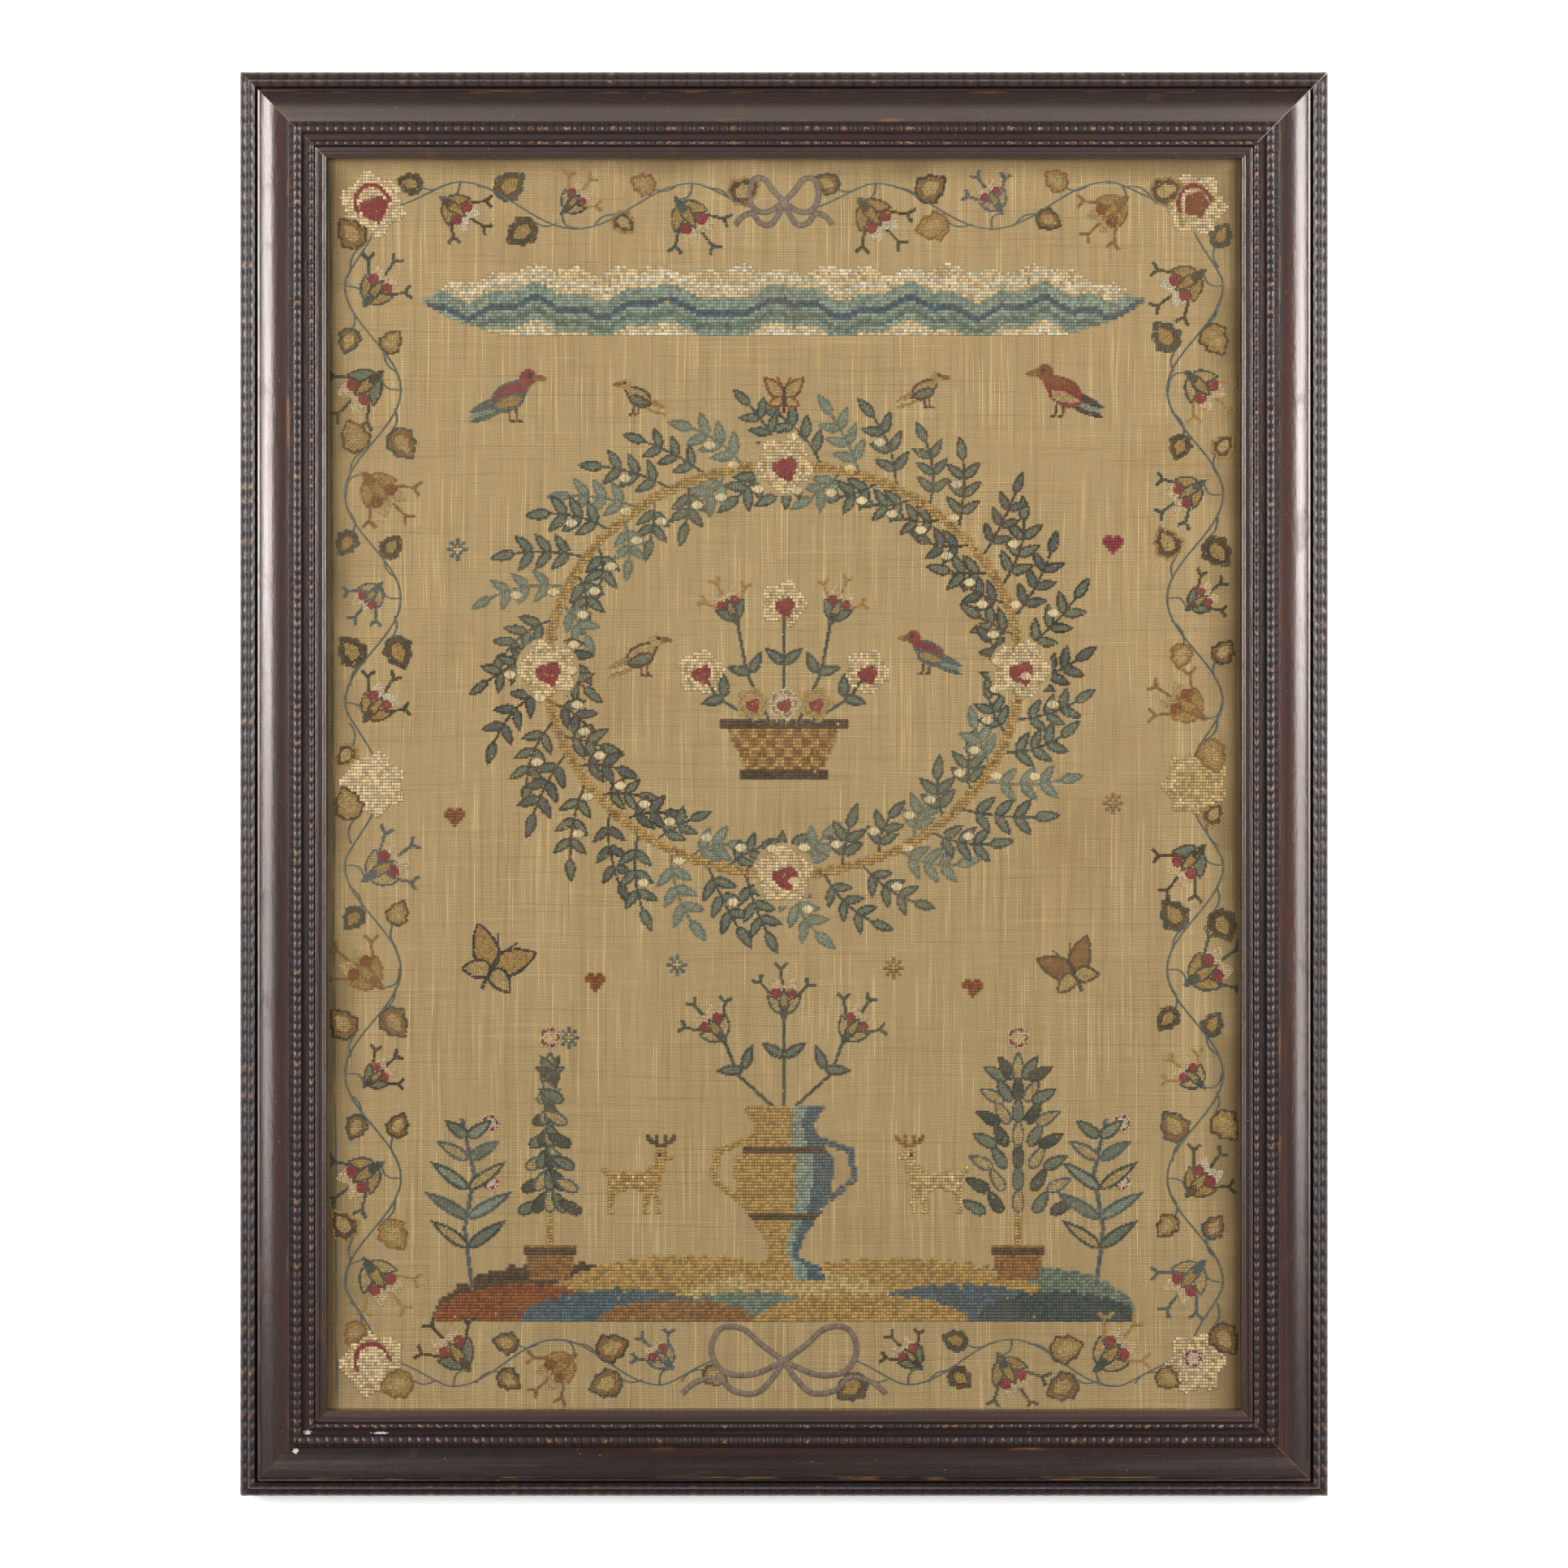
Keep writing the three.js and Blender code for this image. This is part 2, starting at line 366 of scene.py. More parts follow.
@node_group("Handling wear", {"Position": "Vector", "Amount": 0.5}, "Rubbed", "Dust", "Scratch")
def wear_group(at, amount):
    """Patches of rubbing, specks of dust and fine scratches, as masks."""
    rubbed = ramp(speckle(at, 38, 4, 0.6) - (0.78 - amount * 0.3), 0.0, 0.08)
    dots = wire(at.tree, "ShaderNodeTexVoronoi", {"Vector": at, "Scale": 340.0}, "Distance",
                feature="F1")
    dust = ramp(dots, 0.04, 0.12, 1, 0) * speckle(at, 170, 1).step("GREATER_THAN", 0.62)
    lines = speckle(stretched(at, (900, 35, 900), (0, 0, 0.35)), 1.0, 2, 0.4)
    return rubbed, dust, ramp(lines, 0.66, 0.72)


@node_group("Plain weave", {"Position": "Vector", "Pitch": 0.6 * MM},
            "Height", "Gap", "Warp tone", "Weft tone")
def weave_group(at, pitch):
    """Plain weave over a flat position in metres: height, gaps and both threads' own tones."""
    drift = wire(at.tree, "ShaderNodeTexNoise", {"Vector": at, "Scale": 17.0, "Detail": 2.0},
                 "Color")
    centred = vector_step("SUBTRACT", drift, (0.5, 0.5, 0.5))
    flat = parts_of(vector_step("MULTIPLY_ADD", centred, (2.4 * MM, 2.4 * MM, 0), at))
    numbers, edges, tones = [], [], []
    for axis in (0, 1):
        count = flat[axis] / pitch
        numbers.append(count.step("FLOOR"))
        edges.append(abs(count.step("FRACT") - 0.5) * 2.0)
        # Each thread reads noise of its own, along its length
        place = vector_of(at.tree, X=numbers[axis] * 5.173, Y=flat[1 - axis] * 15.0, Z=3.7 * axis)
        tones.append(speckle(place, 1.0, 2, 0.6))
    warp_over = ((numbers[0] + numbers[1]) * 0.5).step("FRACT").step("LESS_THAN", 0.25)
    warp_height, weft_height = (
        (1.0 - own ** 2.0) * (1.0 - other ** 2.0 * 0.5) for own, other in (edges, edges[::-1])
    )
    height = wire(at.tree, "ShaderNodeMix", {0: warp_over, 2: weft_height, 3: warp_height},
                  data_type="FLOAT")
    warp_tone, weft_tone = (
        (tone - 0.5) * (over * 0.2 + 0.8) + 0.5
        for tone, over in zip(tones, (warp_over, 1.0 - warp_over))
    )
    return height, ramp(edges[0] * edges[1], 0.3, 0.75), warp_tone, weft_tone


@node_group("Place on the frame", {"Position": "Vector"}, "Inward", "Mitre")
def frame_place_group(at):
    """Where a point of the frame lies, in mm: in from the outside, and off the mitre."""
    x, y, _ = parts_of(at)
    across = (HALF_WIDTH - abs(x)) / MM
    upward = (HALF_HEIGHT - abs(y)) / MM
    return across.step("MINIMUM", upward), abs(across - upward) * math.sqrt(0.5)


# Materials

def use_group(group, **feeds):
    """Places a shader group in a material and gives its outputs by name."""
    node = add(feeds["Position"].tree, "ShaderNodeGroup", feeds, node_tree=group())
    return {socket.name: Wire(socket) for socket in node.outputs}


def new_material(name, **shader_values):
    """A material with one Principled shader; gives it, its shader and the object position."""
    material = bpy.data.materials.new(name)
    material.use_nodes = True
    shader = material.node_tree.nodes["Principled BSDF"]
    for key, value in shader_values.items():
        shader.inputs[key.replace("_", " ")].default_value = value
    return material, shader, wire(material.node_tree, "ShaderNodeTexCoord", output="Object")


def connect(shader, **wires):
    """Feeds the shader's inputs."""
    for key, value in wires.items():
        value.tree.links.new(value.socket, shader.inputs[key.replace("_", " ")])


def bumped(height, distance, strength):
    """The surface direction under a relief."""
    return wire(height.tree, "ShaderNodeBump", {
        "Height": height, "Distance": distance, "Strength": strength,
    }, "Normal")


def along_grain(position, side):
    """Object position, turned so that the grain runs along that side of the frame."""
    across = side in ("top", "bottom")
    return stretched(position, (1, 1, 1), (0, 0, math.pi / 2 if across else 0))


# Crumbs of white filler near the open mitre: middle and reach across and up, in mm
FILLER_MARKS = [(-195.1, -265.0, 1.8, 1.0), (-199.6, -272.4, 1.3, 1.1), (-165.0, -265.2, 3.6, 0.45)]
FILLER_COLOUR = shown(224, 220, 210)


def filler_marks(position):
    """A mask of the ragged marks in FILLER_MARKS."""
    ragged = speckle(position, 1300, 3) * 2.2 - 1.1
    total = None
    for x, y, wide, tall in FILLER_MARKS:
        offset = vector_step("SUBTRACT", position, (x * MM, y * MM, 0))
        near = stretched(offset, (1 / (wide * MM), 1 / (tall * MM), 0))
        mark = ramp(vector_step("LENGTH", near, output="Value") + ragged, 0.75, 1.0, 1, 0)
        total = total + mark if total else mark
    return total.step("MINIMUM", 1.0)


# How each side looks: how dark its stain is painted, the bottom rail darker as painted shade,
# its redness, and a painted grey sheen at the foot of the hollow
SIDE_TONES_AND_LIGHT = {
    "left": (1.0, 0.55, 0.05),
    "right": (1.0, 0.95, 0.05),
    "top": (1.0, 0.2, 0.55),
    "bottom": (0.5, 0.9, 0.0),
}

# How light each slip's stain is painted, the top and bottom slips lighter as painted light,
# and how red beside its rail's
SLIP_PAINTED_LIGHT = {"left": 1.0, "right": 1.0, "top": 1.55, "bottom": 1.85}
SLIP_REDNESS = 0.35


def stained_wood(name, side, slip=False):
    """Dark stained, waxed wood: red-brown streaks, rubbed edges, dust, painted shade and sheen."""
    colours = bpy.context.scene.sampler_colours
    depth, redness, foot_sheen = SIDE_TONES_AND_LIGHT[side]
    if slip:
        depth = SLIP_PAINTED_LIGHT[side]
        redness *= SLIP_REDNESS
    material, shader, position = new_material(
        name, Roughness=0.3, IOR=1.8, Coat_Weight=1.0, Coat_Roughness=0.18, Coat_IOR=1.45,
        Specular_Tint=(1, 0.85, 0.79, 1))
    at = along_grain(position, side)
    grain = use_group(grain_group, Position=at, Fineness=1.0)
    wear = use_group(wear_group, Position=at, Amount=0.5)
    place = use_group(frame_place_group, Position=position)
    inward = place["Inward"]
    # Painted shade and light: the bottom rail's stain is darkened, the top and bottom slips'
    # lightened
    stain = tinted(colours.stain, depth)
    bare = tinted(colours.bare_wood, 0.75)
    # The stain turns redder towards the foot of the hollow, in long streaks
    foot = ramp(inward, 12, 17.5, 0.2, 1.0)
    patch = ramp(streaks(at, (230, 5, 230), 4, 0.62), 0.42, 0.64, 0, redness)
    # Edges rubbed down to bare wood: the arris, the foot of the hollow and the mitres
    rub = streaks(at, (700, 45, 700), 3)
    arris = band(inward, 9.3, 9.9, 0.2) * ramp(rub, 0.52, 0.66) * 0.55
    lower = (band(inward, 19.9, 20.9, 0.5) * ramp(speckle(at, 26, 2), 0.56, 0.68)
             * ramp(rub, 0.42, 0.6) * 0.6)
    seam = ramp(place["Mitre"], 0.12, 0.4, 1, 0) * ramp(rub, 0.36, 0.56, 0.1, 0.6)
    colour = layered(
        stain,
        (foot * patch, tinted(stain, 3.2, 1.35, 0.95)),
        (grain["Streak"] * 0.5, tinted(stain, 0.6)),
        # Painted grey sheen at the foot of the hollow, strongest on the top rail
        (band(inward, 17.0, 20.6, 4.0) * foot_sheen, shown(104, 94, 88)),
        (arris, bare),
        (lower, bare),
        (seam, bare),
        (filler_marks(position), FILLER_COLOUR),
        (wear["Rubbed"] * 0.2, tinted(colours.bare_wood, 0.4)),
        (wear["Dust"] * 0.5, shown(160, 150, 138)),
        (wear["Scratch"] * 0.12, shown(120, 104, 92)),
    )
    # Fine streaks, worn patches and pits in the wax
    wax = (ramp(streaks(at, (1500, 26, 1500), 3), 0.3, 0.62, 0.45, 1.0)
           * ramp(speckle(at, 30, 6, 0.7), 0.54, 0.64, 1.0, 0.1)
           * ramp(speckle(at, 1400, 2, 0.5), 0.64, 0.7, 1.0, 0.1))
    relief = streaks(at, (420, 150, 420), 4, 0.6) * 1.6 + grain["Height"]
    connect(shader, Base_Color=colour, Coat_Weight=wax,
            Roughness=wear["Dust"] * 0.3 + (grain["Streak"] * 0.1 + 0.22),
            Normal=bumped(relief, 0.12 * MM, 0.6))
    return material


def bare_wood(name, base, side):
    """Unstained, aged wood with open grain, for what faces the wall."""
    material, shader, position = new_material(name, Roughness=0.8)
    at = along_grain(position, side)
    grain = use_group(grain_group, Position=at, Fineness=0.55)
    wear = use_group(wear_group, Position=at, Amount=0.8)
    colour = layered(
        tinted(base, 0.45),
        (grain["Streak"], tinted(base, 1.0)),
        (grain["Pores"] * 0.5, tinted(base, 0.3)),
        (ramp(speckle(at, 9, 4), 0.35, 0.75, 0, 0.55), tinted(base, 0.5)),
        (wear["Rubbed"] * 0.3, shown(170, 150, 120)),
    )
    connect(shader, Base_Color=colour, Normal=bumped(grain["Height"], 0.3 * MM, 0.8))
    return material


def ripple_wood(name, side, bare_share):
    """Near-black strip whose crests are worn to bare wood here and there, with painted shade in its
    valleys.
    """
    colours = bpy.context.scene.sampler_colours
    material, shader, position = new_material(
        name, Roughness=0.3, IOR=1.36, Coat_Weight=0.6, Coat_Roughness=0.1, Coat_IOR=1.45)
    at = along_grain(position, side)
    grain = use_group(grain_group, Position=at, Fineness=1.4)
    wear = use_group(wear_group, Position=at, Amount=0.6)
    place = use_group(frame_place_group, Position=position)
    crest, chip = (
        wire(at.tree, "ShaderNodeAttribute", output="Fac", attribute_name=kept)
        for kept in ("crest", "chip")
    )
    stain = tinted(colours.stain, 1.28, 1.38, 1.45)
    gold = tuple(colours.bare_wood)
    bare = (ramp(crest, 0.74, 0.96) * ramp(speckle(at, 1100, 3), 0.4, 0.6)
            * ramp(chip, 1 - bare_share, 1 - bare_share * 0.5))
    bare_colour = layered(tinted(gold, 0.85, 0.66, 0.62),
                          (ramp(speckle(at, 420, 1), 0.4, 0.6), gold))
    edge_line = ramp(crest, 0.5, 0.95) * ramp(speckle(at, 60, 3), 0.5, 0.7, 0, 0.4)
    colour = layered(
        stain,
        (grain["Streak"] * 0.5, tinted(stain, 1.5)),
        # Painted shade in the ripples' valleys
        (ramp(crest, 0.0, 0.5, 0.7, 0.0), tinted(stain, 0.4)),
        (bare, bare_colour),
        (edge_line, tinted(gold, 0.5)),
        (ramp(place["Mitre"], 0.12, 0.4, 1, 0) * 0.35, tinted(gold, 0.7)),
        (filler_marks(position), FILLER_COLOUR),
        (wear["Dust"] * 0.4, shown(150, 140, 128)),
    )
    coat = (ramp(speckle(at, 800, 3), 0.42, 0.6, 0.0, 0.8)
            * ramp(crest, 0.35, 0.85, 0.1, 1.0))
    connect(shader, Base_Color=colour, Coat_Weight=coat, Roughness=bare * 0.3 + 0.28,
            Normal=bumped(grain["Height"], 0.08 * MM, 0.6))
    return material


def linen_material():
    """Aged plain-weave linen: each thread its own tone, brown clouds, edges darkened by dirt and
    painted shadow, and painted shade on and between the threads.
    """
    scene = bpy.context.scene
    material, shader, _ = new_material("Aged linen", Roughness=0.95)
    laid = wire(material.node_tree, "ShaderNodeUVMap", output="UV", uv_map="Flat")
    at = vector_step("SUBTRACT", stretched(laid, (2 * LINEN_X, 2 * LINEN_Y, 1)),
                     (LINEN_X, LINEN_Y, 0))
    x, y, _ = parts_of(at)
    weave = use_group(weave_group, Position=at, Pitch=scene.sampler_sizes.linen_pitch)
    warp, weft = weave["Warp tone"], weave["Weft tone"]
    bands = streaks(at, (190, 6, 1), 3, 0.6)
    base = tuple(scene.sampler_colours.linen)
    light = tinted(base, 1.45, 1.46, 1.5)
    dark = tinted(base, 0.66, 0.62, 0.56)
    # Dirt and the frame's painted shadow gather along the edges, least at the bottom
    side = (SIGHT_X - abs(x)) * 0.6
    nearest = side.step("MINIMUM", (SIGHT_Y - y).step("MINIMUM", y + (SIGHT_Y + 16 * MM)))
    ragged = speckle(at, 26, 4) * (15 * MM) - 3.4 * MM
    soil_and_shadow = ramp(nearest + ragged, 2 * MM, 15 * MM, 0.9, 0.0)
    # A few coloured threads woven in near the left side, a little off the upright
    wander = streaks(at, (0, 22, 1), 2) * 2.2 - 1.1
    slanted = y * -5.8 + (x / -MM + wander)
    stripe = (band(slanted, 184.5, 185.3, 0.25)
              * ramp(streaks(at, (900, 60, 1), 3), 0.35, 0.55) * 0.8)
    cloth = layered(
        base,
        (ramp(warp, 0.55, 0.68, 0, 0.95), light),
        (ramp(warp, 0.3, 0.48, 0.6, 0), dark),
        (ramp(weft, 0.58, 0.74, 0, 0.4), light),
        (ramp(weft, 0.28, 0.46, 0.45, 0), dark),
        (ramp(bands, 0.52, 0.75, 0, 0.3), light),
        (ramp(bands, 0.28, 0.46, 0.25, 0), dark),
        (ramp(speckle(at, 12, 5, 0.62), 0.48, 0.78, 0, 0.4), tinted(base, 0.66, 0.56, 0.44)),
        # Dirt and painted shadow of the frame along the edges
        (soil_and_shadow, tinted(base, 0.4, 0.36, 0.3)),
        (stripe, shown(66, 78, 76)),
    )
    # Painted shade: each thread darker where it dips and lighter on its crest
    cloth_with_painted_shade = shade(cloth, ramp(weave["Height"], 0.05, 0.8, 0.66, 1.14))
    # Painted shade in the gaps between threads
    colour = layered(cloth_with_painted_shade, (weave["Gap"] * 0.8, tinted(base, 0.3)))
    connect(shader, Base_Color=colour, Normal=bumped(weave["Height"], 0.2 * MM, 1.0))
    return material


def thread_material(name, base, sheen=0.1):
    """Silk thread of one dye: each stitch a little lighter or darker, and faded in places."""
    material, shader, at = new_material(f"{name} thread", Roughness=0.55, Sheen_Weight=sheen,
                                        Sheen_Roughness=0.35)
    tone = wire(at.tree, "ShaderNodeAttribute", output="Fac", attribute_name="tone")
    strand = streaks(at, (5200, 5200, 5200), 2)
    colour = layered(
        tinted(base, 0.66),
        (tone, tinted(base, 1.35)),
        (ramp(speckle(at, 24, 4), 0.4, 0.72, 0, 0.16), shown(176, 152, 112)),
    )
    connect(shader, Base_Color=shade(colour, ramp(strand, 0.3, 0.7, 0.82, 1.1)),
            Normal=bumped(strand, 0.06 * MM, 0.7))
    return material


# Geometry Nodes trees

def finished(geometry, material):
    """Every tree ends in real geometry with its material on it."""
    real = wire(geometry.tree, "GeometryNodeRealizeInstances", {"Geometry": geometry})
    return wire(geometry.tree, "GeometryNodeSetMaterial", {"Geometry": real, "Material": material})


def random_between(low, high, seed, **identity):
    """A random number for each point, or for each ID."""
    feeds = {"Min": low, "Max": high, "Seed": seed} | identity
    return wire(seed.tree, "FunctionNodeRandomValue", feeds, "Value", data_type="FLOAT")


def store(geometry, name, value, domain):
    """Keeps a number on the geometry for the material to read."""
    return wire(geometry.tree, "GeometryNodeStoreNamedAttribute",
                {"Geometry": geometry, "Name": name, "Value": value},
                data_type="FLOAT", domain=domain)


def threads_on(points, form, rotation, scale, seed, material):
    """The thread form on every point, each with a tone of its own."""
    tree = points.tree
    thread = wire(tree, "GeometryNodeObjectInfo", {"Object": form}, "Geometry")
    placed = wire(tree, "GeometryNodeInstanceOnPoints", {
        "Points": points, "Instance": thread, "Rotation": rotation, "Scale": scale,
    })
    toned = store(placed, "tone", random_between(0.0, 1.0, seed + 23), "INSTANCE")
    return finished(toned, material)


@node_group("Stitches on the count", {
    "Ground points": "Geometry", "Stitch": "Object", "Turn": 0.11, "Size change": 0.11, "Seed": 1,
    "Material": "Material",
}, "Geometry")
def counted_stitch_tree(ground, form, turn, change, seed, material):
    """A stitch on every point of a counted ground."""
    angle = random_between(turn * -1.0, turn, seed)
    size = random_between(1.0 - change, change + 1.0, seed + 11)
    return threads_on(ground, form, vector_of(ground.tree, Z=angle),
                      vector_of(ground.tree, X=size, Y=size, Z=size), seed, material)


@node_group("Threads along a path", {
    "Path": "Geometry", "Thread": "Object", "Spacing": 0.4 * MM, "Slant": 1.4, "Width": 0.5 * MM,
    "Rise": 0.3 * MM, "Seed": 1, "Material": "Material",
}, "Geometry")
def laid_thread_tree(path, form, spacing, slant, width, rise, seed, material):
    """Threads laid side by side along a path; a path's radius is half a thread's length."""
    tree = path.tree
    spaced = wire(tree, "GeometryNodeResampleCurve", {"Curve": path, "Length": spacing},
                  mode="LENGTH")
    aligned = wire(tree, "FunctionNodeAlignRotationToVector",
                   {"Vector": wire(tree, "GeometryNodeInputTangent")}, axis="X", pivot_axis="Z")
    lean = vector_of(tree, Z=slant + random_between(-0.09, 0.09, seed))
    turned = wire(tree, "FunctionNodeRotateRotation", {"Rotation": aligned, "Rotate By": lean},
                  rotation_space="LOCAL")
    reach = wire(tree, "GeometryNodeInputRadius") * 2.0 * random_between(0.93, 1.07, seed + 5)
    return threads_on(spaced, form, turned, vector_of(tree, X=reach, Y=width, Z=rise), seed,
                      material)


@node_group("Ripple cutter", {
    "Strip": "Geometry", "Pitch": 5 * MM, "Depth": 0.6 * MM, "Unevenness": 0.25, "Seed": 1,
    "Material": "Material",
}, "Geometry")
def ripple_tree(strip, pitch, depth, unevenness, seed, material):
    """Cuts ripples into a straight strip: travel is the way along, cut the way the tool moves."""
    travel, way = (
        wire(strip.tree, "GeometryNodeInputNamedAttribute", {"Name": name}, "Attribute",
             data_type=kind)
        for name, kind in (("travel", "FLOAT"), ("cut", "FLOAT_VECTOR"))
    )
    turns = travel / pitch
    ripple = turns.step("FLOOR")
    wave = abs((turns * math.pi).step("SINE")) ** 0.85
    uneven = random_between(1.0 - unevenness, unevenness + 1.0, seed, ID=ripple)
    chip = random_between(0.0, 1.0, seed + 3, ID=ripple)
    offset = vector_step("SCALE", way, Scale=(wave - 1.0) * depth * uneven)
    crest = wave * vector_step("LENGTH", way, output="Value").step("MINIMUM", 1.0)
    cut = wire(strip.tree, "GeometryNodeSetPosition", {"Geometry": strip, "Offset": offset})
    kept = store(store(cut, "crest", crest, "POINT"), "chip", chip, "POINT")
    return finished(kept, material)


def apply_tree(source, tree, values, name):
    """Runs a Geometry Nodes tree on an object and gives the result as a plain mesh piece."""
    modifier = source.modifiers.new("Nodes", "NODES")
    modifier.node_group = tree
    for item in tree.interface.items_tree:
        if item.in_out == "INPUT" and item.name in values:
            modifier[item.identifier] = values[item.name]
    bpy.context.view_layer.update()
    graph = bpy.context.evaluated_depsgraph_get()
    mesh = bpy.data.meshes.new_from_object(source.evaluated_get(graph), depsgraph=graph)
    mesh.name = name
    source.modifiers.remove(modifier)
    discard(source)
    return placed_object(name, mesh)


def placed_object(name, data):
    """A new object in the scene."""
    obj = bpy.data.objects.new(name, data)
    bpy.context.collection.objects.link(obj)
    return obj


def discard(*objects):
    """Removes objects and their data."""
    for obj in objects:
        data = obj.data
        bpy.data.objects.remove(obj)
        owner = bpy.data.curves if isinstance(data, bpy.types.Curve) else bpy.data.meshes
        owner.remove(data)


def smooth(mesh, angle):
    """Smooth faces, with an edge kept where they meet more sharply than angle."""
    mesh.polygons.foreach_set("use_smooth", [True] * len(mesh.polygons))
    mesh.set_sharp_from_angle(angle=math.radians(angle))
    mesh.update()


# Moulding sections, as rows of (inward, height, cut inward, cut up): the last two say how
# the ripple cutter moves that point

def reed(start, end, rise, steps, cut=1.0, lean=0.0):
    """Points of a reed from start to end, without its last point."""
    along = np.array(end) - np.array(start)
    normal = np.array((-along[1], along[0])) / np.linalg.norm(along)
    rows = []
    for step in range(steps):
        share = step / steps
        bulge = 4 * share * (1 - share)
        point = np.array(start) + along * share + normal * rise * bulge
        way = (normal + np.array((lean, 0))) * cut * bulge
        rows.append((*point, *way))
    return rows


def plain(*points):
    """Points that the cutter leaves alone."""
    return [(inward, height, 0, 0) for inward, height in points]


def span(node):
    """How far in from the outside a left-hand node starts and ends, and its heights."""
    low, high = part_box(node)
    return low.x + HALF_WIDTH, high.x + HALF_WIDTH, low.z, high.z


def outer_strip_rows():
    """Section of the outside strip: two reeds up a slope, then a groove."""
    start, end, low, _ = span("outer_ripple_left")
    reeds_end = start + 6.7 * MM
    low_edge = 11 * MM
    top = 15.6 * MM
    groove = 12.8 * MM
    rise = 0.75 * MM
    middle = ((start + reeds_end) / 2, (low_edge + top) / 2)
    return (
        plain((start, low))
        + reed((start, low_edge), middle, rise, 5)
        + reed(middle, (reeds_end, top), rise, 5)
        + plain((reeds_end, top), (reeds_end, groove), (end, groove), (end, low))
    )


def broad_strip_rows():
    """Section of the broad strip: a bead, then a wide leaning reed."""
    start, end, low, _ = span("broad_ripple_left")
    step = start + 1.0 * MM
    bead_base = 15.4 * MM
    bead_rise = 0.5 * MM
    crest_base = 16.5 * MM
    crest_rise = 0.9 * MM
    return (
        plain((start, low))
        + reed((start, bead_base), (step, bead_base), bead_rise, 3, 0.9)
        + plain((step, bead_base))
        + reed((step, crest_base), (end, crest_base), crest_rise, 6, 1.0, 0.5)
        + plain((end, crest_base), (end, low))
    )


def fine_strip_rows():
    """Section of the fine strip: one reed."""
    start, end, low, _ = span("fine_ripple_left")
    base = 16.2 * MM
    rise = 0.9 * MM
    return (
        plain((start, low))
        + reed((start, base), (end, base), rise, 6, 1.15)
        + plain((end, base), (end, low))
    )


def rounded(corner_before, corner, corner_after, radius, steps=3):
    """A corner eased by a short round."""
    corner = np.array(corner)
    towards = [np.array(point) - corner for point in (corner_before, corner_after)]
    ends = [corner + way / np.linalg.norm(way) * radius for way in towards]
    rows = []
    for step in range(steps + 1):
        share = step / steps
        point = ((1 - share) ** 2 * ends[0] + 2 * share * (1 - share) * corner
                 + share ** 2 * ends[1])
        rows += plain(point)
    return rows


# A rail's stations, and how far it wanders in height
STATION_LENGTH = 6 * MM
RAIL_WANDER = 0.05 * MM


def rail_rows():
    """Section of the main rail, anticlockwise seen with the outside on the left."""
    start, end, low, high = span("rail_left")
    strip_end = span("outer_ripple_left")[1] + FIT_GAP
    side_height = span("outer_ripple_left")[2] - FIT_GAP
    ledge_start = LINEN_BOX[0].x + HALF_WIDTH - FIT_GAP
    seat = span("broad_ripple_left")[2] - FIT_GAP
    arris_width = 0.9 * MM
    hollow_start = strip_end + arris_width
    hollow_end = span("broad_ripple_left")[0] - FIT_GAP
    hollow_top = 19.4 * MM
    hollow_foot = 15.2 * MM
    steep, level = math.radians(39), math.radians(-2.5)
    quirk = 0.05 * MM
    rows = rounded((start, side_height), (start, low), (ledge_start, low), 0.5 * MM)
    rows += plain((ledge_start, low), (ledge_start, LEDGE_HEIGHT), (end, LEDGE_HEIGHT),
                  (end, seat), (hollow_end, seat))
    steps = 26
    for step in range(steps, -1, -1):
        slope = steep + (level - steep) * step / steps
        across = (math.sin(steep) - math.sin(slope)) / (math.sin(steep) - math.sin(level))
        down = (math.cos(slope) - math.cos(steep)) / (math.cos(level) - math.cos(steep))
        rows += plain((hollow_start + (hollow_end - hollow_start) * across,
                       hollow_top + (hollow_foot - hollow_top) * down))
    # A shallow quirk, then the arris, which slopes inwards
    arris_foot = high - arris_width * math.tan(math.radians(31))
    rows += plain((hollow_start - quirk, hollow_top - quirk))
    rows += rounded((hollow_start - quirk, hollow_top), (hollow_start - quirk, arris_foot),
                    (strip_end, high), 0.14 * MM)
    rows += rounded((hollow_start, arris_foot), (strip_end, high), (strip_end, side_height),
                    0.16 * MM)
    rows += plain((strip_end, side_height), (start, side_height))
    return rows


def slip_rows():
    """Section of the slip: a flat with a fine line scratched in it, then a beaded bevel."""
    start, end, low, _ = span("sight_slip_left")
    high = 15.9 * MM
    bevel = 1.7 * MM
    lip = 14.7 * MM
    line = start + 1.7 * MM
    line_width = 0.22 * MM
    edge = (end - bevel, high)
    middle = (end - bevel / 2, (high + lip) / 2)
    bead = 0.13 * MM
    return (
        plain((start, low), (end, low), (end, lip))
        + (reed(edge, middle, bead, 4, 0) + reed(middle, (end, lip), bead, 4, 0))[::-1]
        + plain((line + line_width, high), (line + line_width / 2, high - line_width),
                (line, high))
        + rounded((line, high), (start, high), (start, low), 0.2 * MM)
    )


# How close points have to be to become one, and how fast a rail sways along its length
MERGE_DISTANCE = 1e-7
SWAYS_PER_METRE = 14


